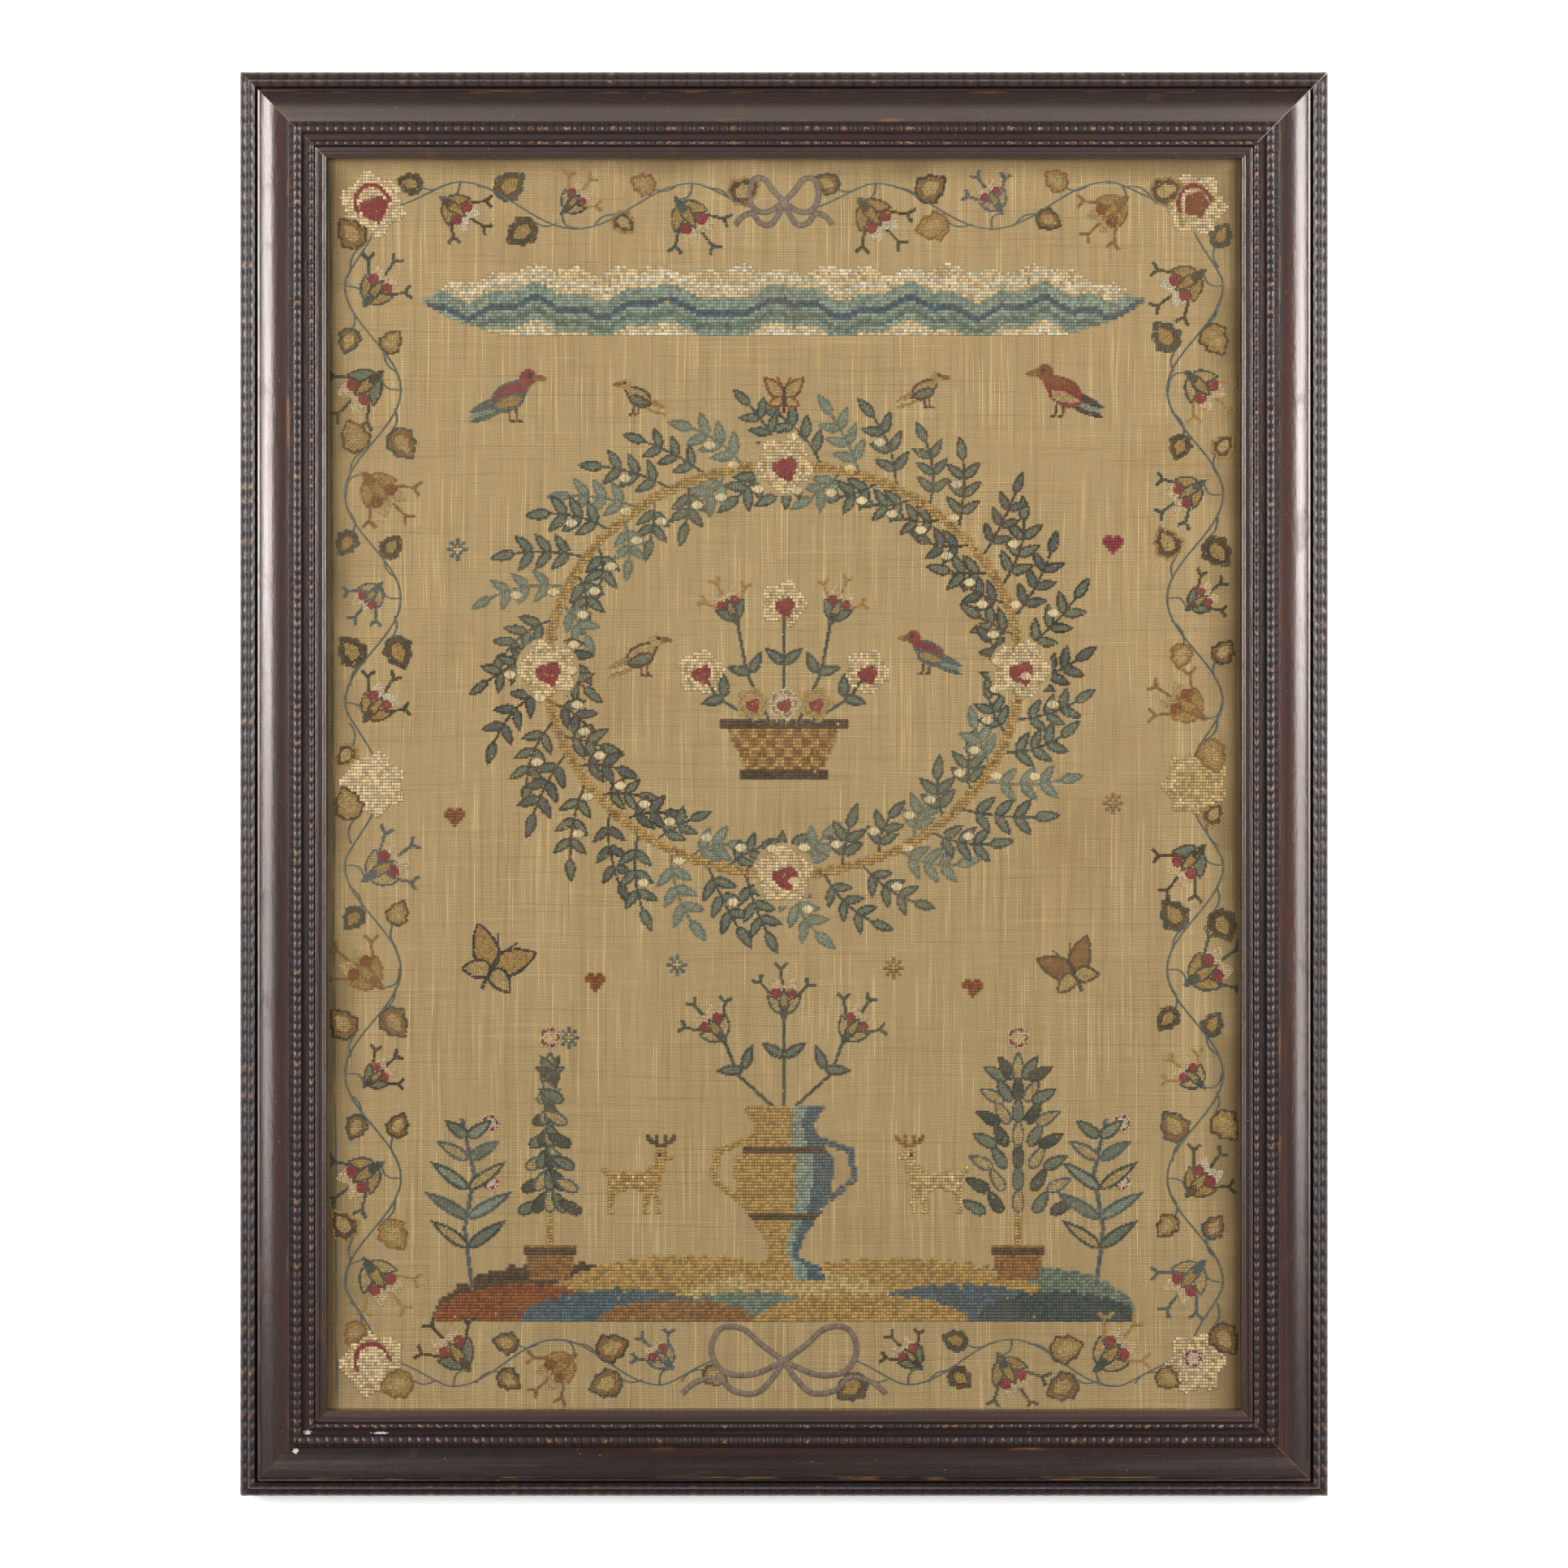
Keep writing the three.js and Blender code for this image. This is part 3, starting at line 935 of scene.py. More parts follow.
def swept_strip(name, side, rows, step_length, unevenness=0.0, seed=0):
    """A section carried along one side of the frame and cut back to the mitre at each end."""
    edge_x, edge_y, turn, length, start_side, end_side = SIDES[side]
    rows = np.array(rows)
    # The section runs anticlockwise, so that faces point outwards
    after = np.roll(rows, -1, axis=0)
    if np.sum(rows[:, 0] * after[:, 1] - after[:, 0] * rows[:, 1]) < 0:
        rows = rows[::-1]
    half = length / 2 - rows[:, 0].min()
    count = math.ceil(half / step_length)
    stations = np.arange(-count, count + 1) * step_length
    reach = length / 2 - rows[:, 0]
    start_back, end_back = (
        MITRE_OPENINGS[frozenset((side, other))] / math.sqrt(2) for other in (start_side, end_side)
    )
    along = np.clip(stations[:, None], start_back - reach[None, :], reach[None, :] - end_back)
    inward = np.repeat(rows[None, :, 0], len(stations), axis=0)
    height = np.repeat(rows[None, :, 1], len(stations), axis=0)
    if unevenness:
        sway = np.array([
            noise.noise(Vector((value * SWAYS_PER_METRE, seed * 7.3, 0))) for value in stations
        ])
        upper = rows[:, 1] > LEDGE_HEIGHT + FIT_GAP
        height = height + unevenness * sway[:, None] * upper[None, :]
    cosine, sine = math.cos(turn), math.sin(turn)
    points = np.stack([
        edge_x + cosine * inward + sine * along,
        edge_y + sine * inward - cosine * along,
        height,
    ], axis=-1).reshape(-1, 3)
    ring = len(rows)
    faces = [tuple(range(ring)), tuple(range(len(points) - 1, len(points) - 1 - ring, -1))]
    for station in range(len(stations) - 1):
        base = station * ring
        for place in range(ring):
            after = (place + 1) % ring
            faces.append((base + place, base + ring + place, base + ring + after, base + after))
    mesh = bpy.data.meshes.new(name)
    mesh.from_pydata(points.tolist(), [], faces)
    ways = np.stack([cosine * rows[:, 2], sine * rows[:, 2], rows[:, 3]], axis=-1)
    travel = mesh.attributes.new("travel", "FLOAT", "POINT")
    travel.data.foreach_set("value", along.reshape(-1).astype(np.float32))
    cut = mesh.attributes.new("cut", "FLOAT_VECTOR", "POINT")
    ways = np.tile(ways, (len(stations), 1))
    cut.data.foreach_set("vector", ways.astype(np.float32).reshape(-1))
    mended = bmesh.new()
    mended.from_mesh(mesh)
    bmesh.ops.remove_doubles(mended, verts=mended.verts, dist=MERGE_DISTANCE)
    bmesh.ops.dissolve_degenerate(mended, dist=MERGE_DISTANCE, edges=mended.edges)
    bmesh.ops.recalc_face_normals(mended, faces=mended.faces)
    mended.to_mesh(mesh)
    mended.free()
    return placed_object(name, mesh)


# Linen ground

def linen_lift(x, y):
    """How far the linen stands off its board, as in the CAD solid; x and y may be arrays."""
    x = np.asarray(x) / MM
    y = np.asarray(y) / MM
    held_edge = 14
    most = 0.45 * MM
    to_edge = np.minimum(LINEN_X / MM - np.abs(x), LINEN_Y / MM - np.abs(y))
    share = np.clip((to_edge - held_edge / 2) / (3 * held_edge - held_edge / 2), 0, 1)
    held = share * share * (3 - 2 * share)
    wave = np.sin(x / 31 + 0.8 * np.sin(y / 83)) * np.cos(y / 67 + 0.5 * np.sin(x / 47))
    return most * held * (0.5 + 0.5 * wave)


def linen_height(x, y):
    """The height of the linen's face."""
    return LINEN_FACE + linen_lift(x, y)


def linen_mesh(columns, rows):
    """The flat sheet as one closed mesh with a UV map of its flat size."""
    xs = np.linspace(-LINEN_X, LINEN_X, columns + 1)
    ys = np.linspace(-LINEN_Y, LINEN_Y, rows + 1)
    grid_x, grid_y = np.meshgrid(xs, ys)
    top = linen_height(grid_x, grid_y)
    face = np.stack([grid_x, grid_y, top], axis=-1).reshape(-1, 3)
    back = face - np.array((0, 0, LINEN_THICKNESS))
    wide = columns + 1
    total = len(face)
    faces = []
    for row in range(rows):
        for column in range(columns):
            a = row * wide + column
            faces.append((a, a + 1, a + wide + 1, a + wide))
            faces.append((total + a, total + a + wide, total + a + wide + 1, total + a + 1))
    rim = (
        list(range(columns))
        + [row * wide + columns for row in range(rows)]
        + [rows * wide + column for column in range(columns, 0, -1)]
        + [row * wide for row in range(rows, 0, -1)]
    )
    for place, a in enumerate(rim):
        b = rim[(place + 1) % len(rim)]
        faces.append((b, a, total + a, total + b))
    mesh = bpy.data.meshes.new("linen_sheet")
    points = np.concatenate([face, back])
    mesh.from_pydata(points.tolist(), [], faces)
    layer = mesh.uv_layers.new(name="Flat")
    corners = np.empty(len(mesh.loops), dtype=np.int32)
    mesh.loops.foreach_get("vertex_index", corners)
    half = np.array((LINEN_X, LINEN_Y))
    flat = (points[corners, :2] + half) / (2 * half)
    layer.data.foreach_set("uv", flat.astype(np.float32).reshape(-1))
    smooth(mesh, 40)
    return mesh


# Counted design

class StitchCanvas:
    """Cells of one stitch each, holding the number of the thread that fills them.

    Places and lengths are in millimetres from the middle of the cloth.
    """

    def __init__(self, cell, thread, x, y):
        self.cell = cell
        self.thread = thread
        self.x = x
        self.y = y

    @classmethod
    def blank(cls, width, height, columns, rows):
        """An empty canvas of cells whose width and height are in metres."""
        cell = (width / MM, height / MM)
        across = (np.arange(columns) - (columns - 1) / 2) * cell[0]
        upward = (np.arange(rows) - (rows - 1) / 2) * cell[1]
        return cls(cell, np.zeros((rows, columns), dtype=int), *np.meshgrid(across, upward))

    def part(self, x, y, reach):
        """The cells within reach of (x, y), as a canvas that fills the same cells."""
        spans = []
        for place, size, count in zip((y, x), self.cell[::-1], self.thread.shape):
            first = int((place - reach) / size + count / 2)
            last = int((place + reach) / size + count / 2) + 2
            spans.append(slice(max(first, 0), max(last, 0)))
        spans = tuple(spans)
        return StitchCanvas(self.cell, self.thread[spans], self.x[spans], self.y[spans])

    def paint(self, where, thread):
        """Fills cells with a thread, or empties them where thread is None."""
        self.thread[where] = 0 if thread is None else THREAD_NAMES.index(thread) + 1

    def turned(self, x, y, angle):
        """Cells' places along and across a direction from (x, y)."""
        cosine, sine = math.cos(angle), math.sin(angle)
        dx, dy = self.x - x, self.y - y
        return dx * cosine + dy * sine, dy * cosine - dx * sine

    def leaf(self, x, y, angle, length, width, edge, fill, teeth=0, border=1.25):
        """A pointed leaf that grows from (x, y), with an edge of its own; teeth notch it."""
        near = self.part(x, y, length + 1)
        along, across = near.turned(x, y, angle)
        share = np.clip(along / length, 0, 1)
        half = width / 2 * share ** 0.5 * (1 - share) ** 0.85 / 0.3953
        if teeth:
            half = half * (1 + 0.1 * np.cos(2 * np.pi * share * teeth))
        body = (along >= 0) & (along <= length) & (np.abs(across) <= half)
        near.paint(body, fill)
        if edge:
            near.paint(body & ((half - np.abs(across) < border) | (along < border)), edge)

    def disc(self, x, y, radius, thread):
        """A filled round."""
        near = self.part(x, y, radius + 1)
        near.paint((near.x - x) ** 2 + (near.y - y) ** 2 <= radius ** 2, thread)

    def line(self, points, width, thread):
        """A stitched line through points."""
        for (x0, y0), (x1, y1) in zip(points, points[1:]):
            length = math.hypot(x1 - x0, y1 - y0)
            near = self.part((x0 + x1) / 2, (y0 + y1) / 2, length / 2 + width + 1)
            along, across = near.turned(x0, y0, math.atan2(y1 - y0, x1 - x0))
            near.paint((along >= -width / 2) & (along <= length + width / 2)
                       & (np.abs(across) <= width / 2), thread)

    def chart(self, x, y, rows, key, mirrored=False):
        """A small charted motif, its middle at (x, y)."""
        total_rows, columns = self.thread.shape
        middle_column = int(round(x / self.cell[0] + (columns - 1) / 2))
        middle_row = int(round(y / self.cell[1] + (total_rows - 1) / 2))
        for number, row in enumerate(rows):
            marks = row[::-1] if mirrored else row
            for place, mark in enumerate(marks):
                if mark in key:
                    at_row = middle_row + len(rows) // 2 - number
                    at_column = middle_column - len(marks) // 2 + place
                    self.thread[at_row, at_column] = THREAD_NAMES.index(key[mark]) + 1


# The share of stitches that have worn away
WORN_SHARE = 0.012


class Sampler:
    """A coarse canvas in cross stitch, and a fine one over it in tent stitch."""

    def __init__(self, stitch_width, stitch_height):
        columns = int(2 * SIGHT_X / stitch_width) - 1
        rows = int(2 * SIGHT_Y / stitch_height) - 1
        self.coarse = StitchCanvas.blank(stitch_width, stitch_height, columns, rows)
        self.fine = StitchCanvas.blank(stitch_width / 2, stitch_height / 2, 2 * columns, 2 * rows)

    def clear_under_coarse(self):
        """Takes fine stitches out where a coarse one lies."""
        self.fine.paint(np.kron(self.coarse.thread > 0, np.ones((2, 2), dtype=bool)), None)

    def settle(self, rng):
        """Fine stitches displace coarse ones, and a few stitches have worn away."""
        rows, columns = self.coarse.thread.shape
        filled = (self.fine.thread > 0).reshape(rows, 2, columns, 2).sum(axis=(1, 3))
        self.coarse.paint(filled >= 2, None)
        self.clear_under_coarse()
        for canvas in (self.coarse, self.fine):
            canvas.paint(rng.random(canvas.thread.shape) < WORN_SHARE, None)


def onward(x, y, angle, forward, side=0.0):
    """A point forward of (x, y) in a direction, and off to its left side."""
    return (x + math.cos(angle) * forward - math.sin(angle) * side,
            y + math.sin(angle) * forward + math.cos(angle) * side)


def rose(work, x, y, radius, lobes, body, line, core=None, turn=0.0, arc=None):
    """An open rose: lobed outline, petal lines, a pointed core and an arc over it."""
    canvas = (work.coarse if radius > 8 else work.fine).part(x, y, radius * 1.1)
    away = np.hypot(canvas.x - x, canvas.y - y)
    angle = np.arctan2(canvas.y - y, canvas.x - x) + turn
    edge = radius * (0.92 + 0.1 * np.cos(lobes * angle))
    canvas.paint(away <= edge, body)
    ring = (away <= edge) & (np.abs(away - edge * 0.7) < 0.6) & (np.cos(lobes * angle) > -0.3)
    spokes = (np.abs(np.sin(lobes * angle / 2)) > 0.985) & (away > edge * 0.72) & (away <= edge)
    canvas.paint(ring | spokes, line)
    fine = work.fine.part(x, y, radius)
    across, up = fine.turned(x, y, 0.35)
    if arc:
        ring = np.hypot(across, up * 0.86)
        fine.paint((np.abs(ring - radius * 0.52) < 0.8) & (up > -radius * 0.1), arc)
    if core:
        up = up + radius * 0.06
        dome = (np.hypot(across, up) < radius * 0.42) & (up < radius * 0.25)
        point = (np.abs(across) < (up + radius * 0.62) * 0.72) & (up < 0) & (up > -radius * 0.56)
        fine.paint(dome | point, core)


def bud(work, x, y, angle, size, line, sepal, petal, heart, feeler):
    """A half-open flower with pale petals, two bright hearts and forked feelers."""
    fine = work.fine
    for lean, reach in ((-1.0, 0.74), (0.1, 0.92), (0.95, 0.8)):
        start = onward(x, y, angle, size * 0.3)
        bend = onward(x, y, angle + lean * 0.55, size * reach * 0.7)
        tip = onward(x, y, angle + lean * 0.62, size * reach)
        fine.line([start, bend, tip], 1.2, feeler)
        for fork in (-0.85, 0.75):
            fine.line([tip, onward(*tip, angle + lean * 0.7 + fork, size * 0.13)], 1.4, feeler)
    for lean in (-0.4, 0.42):
        fine.leaf(*onward(x, y, angle, size * 0.28), angle + lean, size * 0.5, size * 0.3, None,
                  petal)
    for side in (-0.14, 0.15):
        fine.disc(*onward(x, y, angle, size * 0.46, size * side), size * 0.1, heart)
    for lean, width, fill in ((-0.78, 0.23, sepal), (0.78, 0.23, sepal), (0, 0.2, "gold")):
        fine.leaf(*onward(x, y, angle, size * 0.1), angle + lean, size * 0.46, size * width, line,
                  fill, border=0.95)
    fine.leaf(*onward(x, y, angle, size * 0.24), angle + math.pi, size * 0.3, size * 0.15, None,
              line)


def bird(work, x, y, size, facing, breast, back, wing, tail, pale):
    """A perched bird, its middle at (x, y); facing is 1 to the right or -1 to the left."""
    fine = work.fine

    def at(forward, up):
        return x + facing * forward * size, y + up * size

    def aim(angle):
        return angle if facing > 0 else math.pi - angle

    for shift, thread in ((-0.05, tail), (0.02, pale), (0.09, tail)):
        fine.leaf(*at(-0.12, -0.08 + shift), aim(math.pi + 0.42), size * 0.5, size * 0.12, None,
                  thread)
    fine.leaf(*at(-0.24, -0.12), aim(0.62), size * 0.62, size * 0.36, back, breast)
    fine.leaf(*at(0.18, 0.02), aim(math.pi + 0.3), size * 0.5, size * 0.22, back, wing)
    fine.disc(*at(0.23, 0.29), size * 0.115, breast)
    fine.disc(*at(0.26, 0.31), size * 0.036, "ink")
    fine.leaf(*at(0.3, 0.29), aim(-0.12), size * 0.2, size * 0.1, None, "ochre")
    for step in (-0.03, 0.07):
        fine.line([at(step, -0.12), at(step + 0.02, -0.3), at(step + 0.08, -0.31)], 0.9, "brown")


def butterfly(work, x, y, turn, size, thread, line):
    """A butterfly that flies in the direction of turn."""
    fine = work.fine
    for way in (-1, 1):
        fine.leaf(x, y, turn + way * 0.75, size, size * 0.55, line, thread)
        fine.leaf(x, y, turn + way * 2.0, size * 0.62, size * 0.42, line, "straw")
        feeler = [onward(x, y, turn, size * 0.3), onward(x, y, turn + way * 0.3, size * 0.75)]
        fine.line(feeler, 0.8, line)
    fine.line([onward(x, y, turn, -size * 0.4), onward(x, y, turn, size * 0.35)], 1.6, "ink")


def sprig(work, x, y, angle, length, pairs, leaf_length, edge, fill, bend):
    """A twig with paired leaves and one at its tip; gives the places between the leaves."""
    fine = work.fine
    points = [(x, y)]
    heading = angle
    for _ in range(pairs + 1):
        points.append(onward(*points[-1], heading, length / (pairs + 1)))
        heading += bend / (pairs + 1)
    fine.line(points, 1.1, edge)
    forks = []
    for number, point in enumerate(points[1:-1]):
        way = angle + bend * (number + 1) / (pairs + 1)
        for side in (-1, 1):
            fine.leaf(*point, way + side * 0.85, leaf_length, leaf_length * 0.44, edge, fill,
                      border=1.0)
        forks.append(onward(*point, way + 2.2, leaf_length * 0.42))
    fine.leaf(*points[-1], heading, leaf_length * 1.05, leaf_length * 0.46, edge, fill,
              border=1.0)
    return forks


STAG = [
    "...............n..n..n..n",
    "...............nn.n..n.nn",
    "................nnn..nnn.",
    "..................nnnn...",
    "...................gg....",
    "..................gggg...",
    "..................gkggg..",
    "..................gggggg.",
    "..................ggg....",
    ".................gggg....",
    "g...............ggggg....",
    "gg....gg.......gggggg....",
    ".ggggggggggggggggggg.....",
    "..gggwggggwgggwggggg.....",
    "..gggggggggggggggggg.....",
    "..gwggggwggggwgggggg.....",
    "..ggggggggggggggggg......",
    "..gggggg....ggggggg......",
    "..ggg.........gggg.......",
    "..gg..........gg.gg......",
    "..gg..........gg..gg.....",
    "..gg..........gg..gg.....",
    "..g...........g...g......",
    "..g...........g...g......",
    "..gg..........gg..gg.....",
]

STAR = [
    "...a...",
    ".a.a.a.",
    "..aba..",
    "aabbbaa",
    "..aba..",
    ".a.a.a.",
    "...a...",
]

HEART = [
    ".rr.rr.",
    "rrrrrrr",
    "rrrrrrr",
    ".rrrrr.",
    "..rrr..",
    "...r...",
]


def triangle_wave(value):
    """Goes evenly from 0 up to 1 and back for each whole step of value."""
    share = np.mod(value, 1.0)
    return 1 - np.abs(2 * share - 1)


def flame_band(work):
    """A long flame-stitched band in blues and creams across the top."""
    ground = work.coarse
    middle, half_height, half_width = 199, 15, 148
    zigzag = 7 * triangle_wave(ground.x / 52) + 3 * triangle_wave(ground.x / 19 + 0.3)
    level = (ground.y - middle + zigzag) / 2.6
    ends = half_height * np.clip((half_width - np.abs(ground.x)) / 34, 0, 1) ** 0.6
    ragged = 3.2 * triangle_wave(ground.x / 17) + 2.6 * triangle_wave(ground.x / 41 + 0.4)
    reach = np.minimum(half_height, ends) - ragged * (ground.y > middle)
    inside = np.abs(ground.y - middle) < reach
    cycle = ["slate", "mist", "mist", "cream", "silk", "cream", "cream", "silk", "cream", "mist",
             "sage", "mist"]
    for place, thread in enumerate(cycle):
        ground.paint(inside & (np.mod(np.floor(level), len(cycle)) == place), thread)


def hill_ground(work):
    """Scalloped ground along the bottom, in overlapping hills."""
    ground = work.coarse
    bottom, half_width = -221, 144
    hills = [
        (-92, 52, 24, "brown"), (96, 50, 23, "sage"), (-40, 66, 27, "gold"),
        (46, 70, 26, "gold"), (2, 52, 21, "straw"), (-106, 38, 15, "rust"),
        (-66, 42, 13, "slate"), (72, 44, 15, "slate"), (112, 33, 12, "teal"),
        (-16, 36, 12, "sage"), (32, 44, 11, "gold"), (-44, 32, 9, "ochre"),
    ]
    for x, reach, height, thread in hills:
        share = np.clip(1 - ((ground.x - x) / reach) ** 2, 0, 1)
        crest = bottom + height * np.sqrt(share) + 1.6 * triangle_wave(ground.x / 7.2)
        ground.paint((ground.y >= bottom) & (ground.y <= crest) & (share > 0)
                     & (np.abs(ground.x) <= half_width), thread)


WREATH_MIDDLE = 47
WREATH_ACROSS = 97
WREATH_UPWARD = 84


def on_wreath(angle):
    """A point of the wreath's ring."""
    return (WREATH_ACROSS * math.cos(angle), WREATH_MIDDLE + WREATH_UPWARD * math.sin(angle))


def wreath(work, rng):
    """An oval garland of leafy sprigs on a gold ring with four roses; gives its fruit places."""
    steps = 120
    ring = [on_wreath(2 * math.pi * k / steps) for k in range(steps + 1)]
    fruits = []
    sprigs = 38
    for k in range(sprigs):
        turn = 2 * math.pi * (k + 0.5) / sprigs
        for side in (1, -1):
            offset = 0.5 / sprigs if side < 0 else 0
            at = turn + 2 * math.pi * offset
            outward = math.atan2(WREATH_ACROSS * math.sin(at), WREATH_UPWARD * math.cos(at))
            heading = outward + (0.5 if side > 0 else math.pi - 0.5) + rng.uniform(-0.2, 0.2)
            dark = math.sin(at * 2 + 0.9) > 0.45
            fill = ("sage", "slate")[k % 2] if dark else ("sage", "mist", "sage")[k % 3]
            edge = "olive" if dark else ("teal", "sage", "teal")[k % 3]
            long = side > 0
            forks = sprig(work, *on_wreath(at), heading, rng.uniform(25, 33) if long else 17,
                          3 if long else 2, rng.uniform(8.8, 10.2), edge, fill,
                          side * rng.uniform(0.2, 0.8))
            if k % 2 == 0 or not long:
                fruits.append(forks[-1])
            if k % 3 == 1 and long:
                fruits.append(forks[0])
    work.coarse.line(ring, 3.4, "gold")
    for place in range(0, steps, 3):
        work.coarse.disc(*ring[place], 0.9, "ochre")
    work.clear_under_coarse()
    for turn in range(4):
        angle = turn * math.pi / 2
        work.fine.disc(*on_wreath(angle), 13, None)
        rose(work, *on_wreath(angle), 12, 5, "cream", "straw", "crimson", angle)
    return fruits


def leafy_stem(work, x, y, angle, foot, leaf_at, lean, leaf_length):
    """A stem from its foot to (x, y), with a leaf on each side at leaf_at."""
    work.fine.line([foot, (x * 0.8, (foot[1] + y) / 2), (x, y)], 1.3, "teal")
    for side in (-lean, lean):
        work.fine.leaf(*leaf_at, angle + side, leaf_length, 4.6, "teal", "sage")


def basket(work):
    """A basket of flowers inside the wreath."""
    ground = work.coarse
    base_y, top_y = 4, 25
    share = (ground.y - base_y) / (top_y - base_y)
    half = 15 + 9 * share
    inside = (share >= 0) & (share <= 1) & (np.abs(ground.x) <= half)
    lattice = np.mod(np.floor(ground.x / 3.6) + np.floor(ground.y / 3.9), 2) == 0
    ground.paint(inside, "gold")
    ground.paint(inside & lattice, "ochre")
    ground.paint((np.abs(ground.y - top_y) < 2) & (np.abs(ground.x) < 27), "brown")
    ground.paint((np.abs(ground.y - base_y) < 2) & (np.abs(ground.x) < 18), "brown")
    stems = [(-34, 46, 2.5), (-19, 66, 2.0), (0, 74, 1.57), (19, 66, 1.15), (34, 46, 0.65)]
    for number, (x, y, angle) in enumerate(stems):
        leafy_stem(work, x, y, angle, (x * 0.3, top_y), (x * 0.72, (top_y + y) / 2), 0.9, 10)
        if number % 2:
            bud(work, x, y, angle, 20, "teal", "sage", "cream", "crimson", "gold")
        else:
            rose(work, x, y, 9.5, 5, "cream", "straw", "crimson", 0.3 * x)
    for x, thread in ((-13, "straw"), (0, "silk"), (13, "straw")):
        rose(work, x, top_y + 8, 7, 5, thread, "gold", "crimson")


def footed_urn(work):
    """A tall two-toned urn that stands on the ground, with tulips in it."""
    ground = work.coarse
    foot_y, rim_y = -203, -132
    levels = [0, 0.07, 0.13, 0.22, 0.45, 0.68, 0.8, 0.9, 1.0]
    halves = [17, 15, 6, 7, 18, 21, 15, 12, 17]
    share = (ground.y - foot_y) / (rim_y - foot_y)
    half = np.interp(share, levels, halves)
    inside = (share >= 0) & (share <= 1) & (np.abs(ground.x) <= half)
    ground.paint(inside, "gold")
    ground.paint(inside & (ground.x > half * 0.25), "mist")
    ground.paint(inside & (ground.x > half * 0.6), "slate")
    for level in (0.36, 0.74):
        ground.paint(inside & (np.abs(share - level) < 0.02), "brown")
    for side in (-1, 1):
        ground.line([(side * 15, -146), (side * 27, -150), (side * 29, -162), (side * 20, -169)],
                    2.4, "gold" if side < 0 else "slate")
    for x, y, angle in ((-24, -106, 2.2), (0, -96, 1.57), (24, -106, 0.95)):
        leafy_stem(work, x, y, angle, (x * 0.2, rim_y), (x * 0.7, (rim_y + y) / 2 + 2), 1.0, 11)
        bud(work, x, y, angle, 22, "teal", "straw", "cream", "crimson", "teal")


# Edge and body of a clipped tree's leaf
CONE_LEAF_COLOURS = [("slate", "straw"), ("teal", "sage"), ("olive", "teal")]


def cone_tree(work, x, side):
    """A clipped tree in a tub."""
    foot_y, crown_y, top_y = -200, -176, -112
    work.coarse.line([(x, foot_y + 10), (x, crown_y + 2)], 3.2, "gold")
    ground = work.coarse
    tub_half = 9 + (ground.y - foot_y) * 0.16
    tub = (np.abs(ground.y - foot_y - 4) < 7) & (np.abs(ground.x - x) < tub_half)
    ground.paint(tub, "ochre")
    ground.paint(tub & (np.abs(ground.y - foot_y - 8) < 1.4), "brown")
    levels = 7
    for level in range(levels):
        y = crown_y + level * (top_y - crown_y) / levels
        reach = 21 - level * 2.4
        for step in range(-2, 3):
            lean = math.pi / 2 - side * step * 0.55
            colours = CONE_LEAF_COLOURS[(level + step) % len(CONE_LEAF_COLOURS)]
            work.fine.leaf(x + step * reach / 3.2, y, lean, 11.5, 5.2, *colours, border=1.0)
    rose(work, x, top_y + 8, 5, 5, "cream", "crimson")


def flowering_spray(work, x, side):
    """A tall spray of long leaves and small flowers, rooted in the ground."""
    foot_y = -206
    spine = [(x, foot_y), (x + side * 3, -182), (x - side * 1, -160), (x + side * 4, -138)]
    work.fine.line(spine, 1.7, "slate")
    leaves = [(-190, 19), (-178, 21), (-166, 19), (-154, 15), (-145, 12)]
    for number, (y, reach) in enumerate(leaves):
        edge = "slate" if number % 2 else "teal"
        for way in (-1, 1):
            angle = math.pi / 2 - way * (0.95 + 0.08 * (number % 2))
            fill = ("straw", "sage", "mist")[(number + (way > 0)) % 3]
            work.fine.leaf(x + side * 1.5, y, angle, reach, 5.4, edge, fill)
        if number % 2:
            rose(work, x + side * 1.5 + 9, y + 15, 4, 5, "silk", "crimson")


def spot_motifs(work):
    """Birds, stags, hearts, stars and butterflies between the larger motifs."""
    bright = ("crimson", "slate", "gold", "slate", "mist")
    plain_bird = ("straw", "brown", "sage", "gold", "cream")
    rosy = ("rust", "crimson", "straw", "ink", "mist")
    for x, y, size, facing, colours in (
        (-112, 158, 30, 1, bright), (114, 160, 30, -1, rosy),
        (-58, 52, 25, 1, plain_bird), (59, 53, 25, -1, bright),
        (-60, 158, 21, -1, plain_bird), (58, 161, 21, 1, plain_bird),
    ):
        bird(work, x, y, size, facing, *colours)
    stag_key = {"g": "gold", "n": "brown", "k": "ink", "w": "cream"}
    pale_key = {"g": "straw", "n": "ochre", "k": "ink", "w": "silk"}
    work.coarse.chart(-60, -160, STAG, stag_key)
    work.coarse.chart(61, -160, STAG, pale_key, True)
    for x, y in ((-134, 96), (135, -8), (-44, -74), (45, -76), (-88, -104)):
        work.coarse.chart(x, y, STAR, {"a": "slate" if x < 0 else "ochre", "b": "straw"})
    for x, y in ((-135, -14), (135, 98), (-78, -82), (78, -84)):
        work.coarse.chart(x, y, HEART, {"r": "crimson" if y > 0 else "rust"})
    butterfly(work, -120, -76, 1.1, 20, "gold", "ink")
    butterfly(work, 119, -78, 2.0, 17, "ochre", "brown")
    butterfly(work, 0, 158, 1.57, 12, "straw", "rust")


# Border: a vine that meanders between corner roses, side roses and ribbon bows

BORDER_INSET = 18.5
VINE_SWING = 11.5
CORNER = (SIGHT_X / MM - BORDER_INSET, SIGHT_Y / MM - BORDER_INSET)


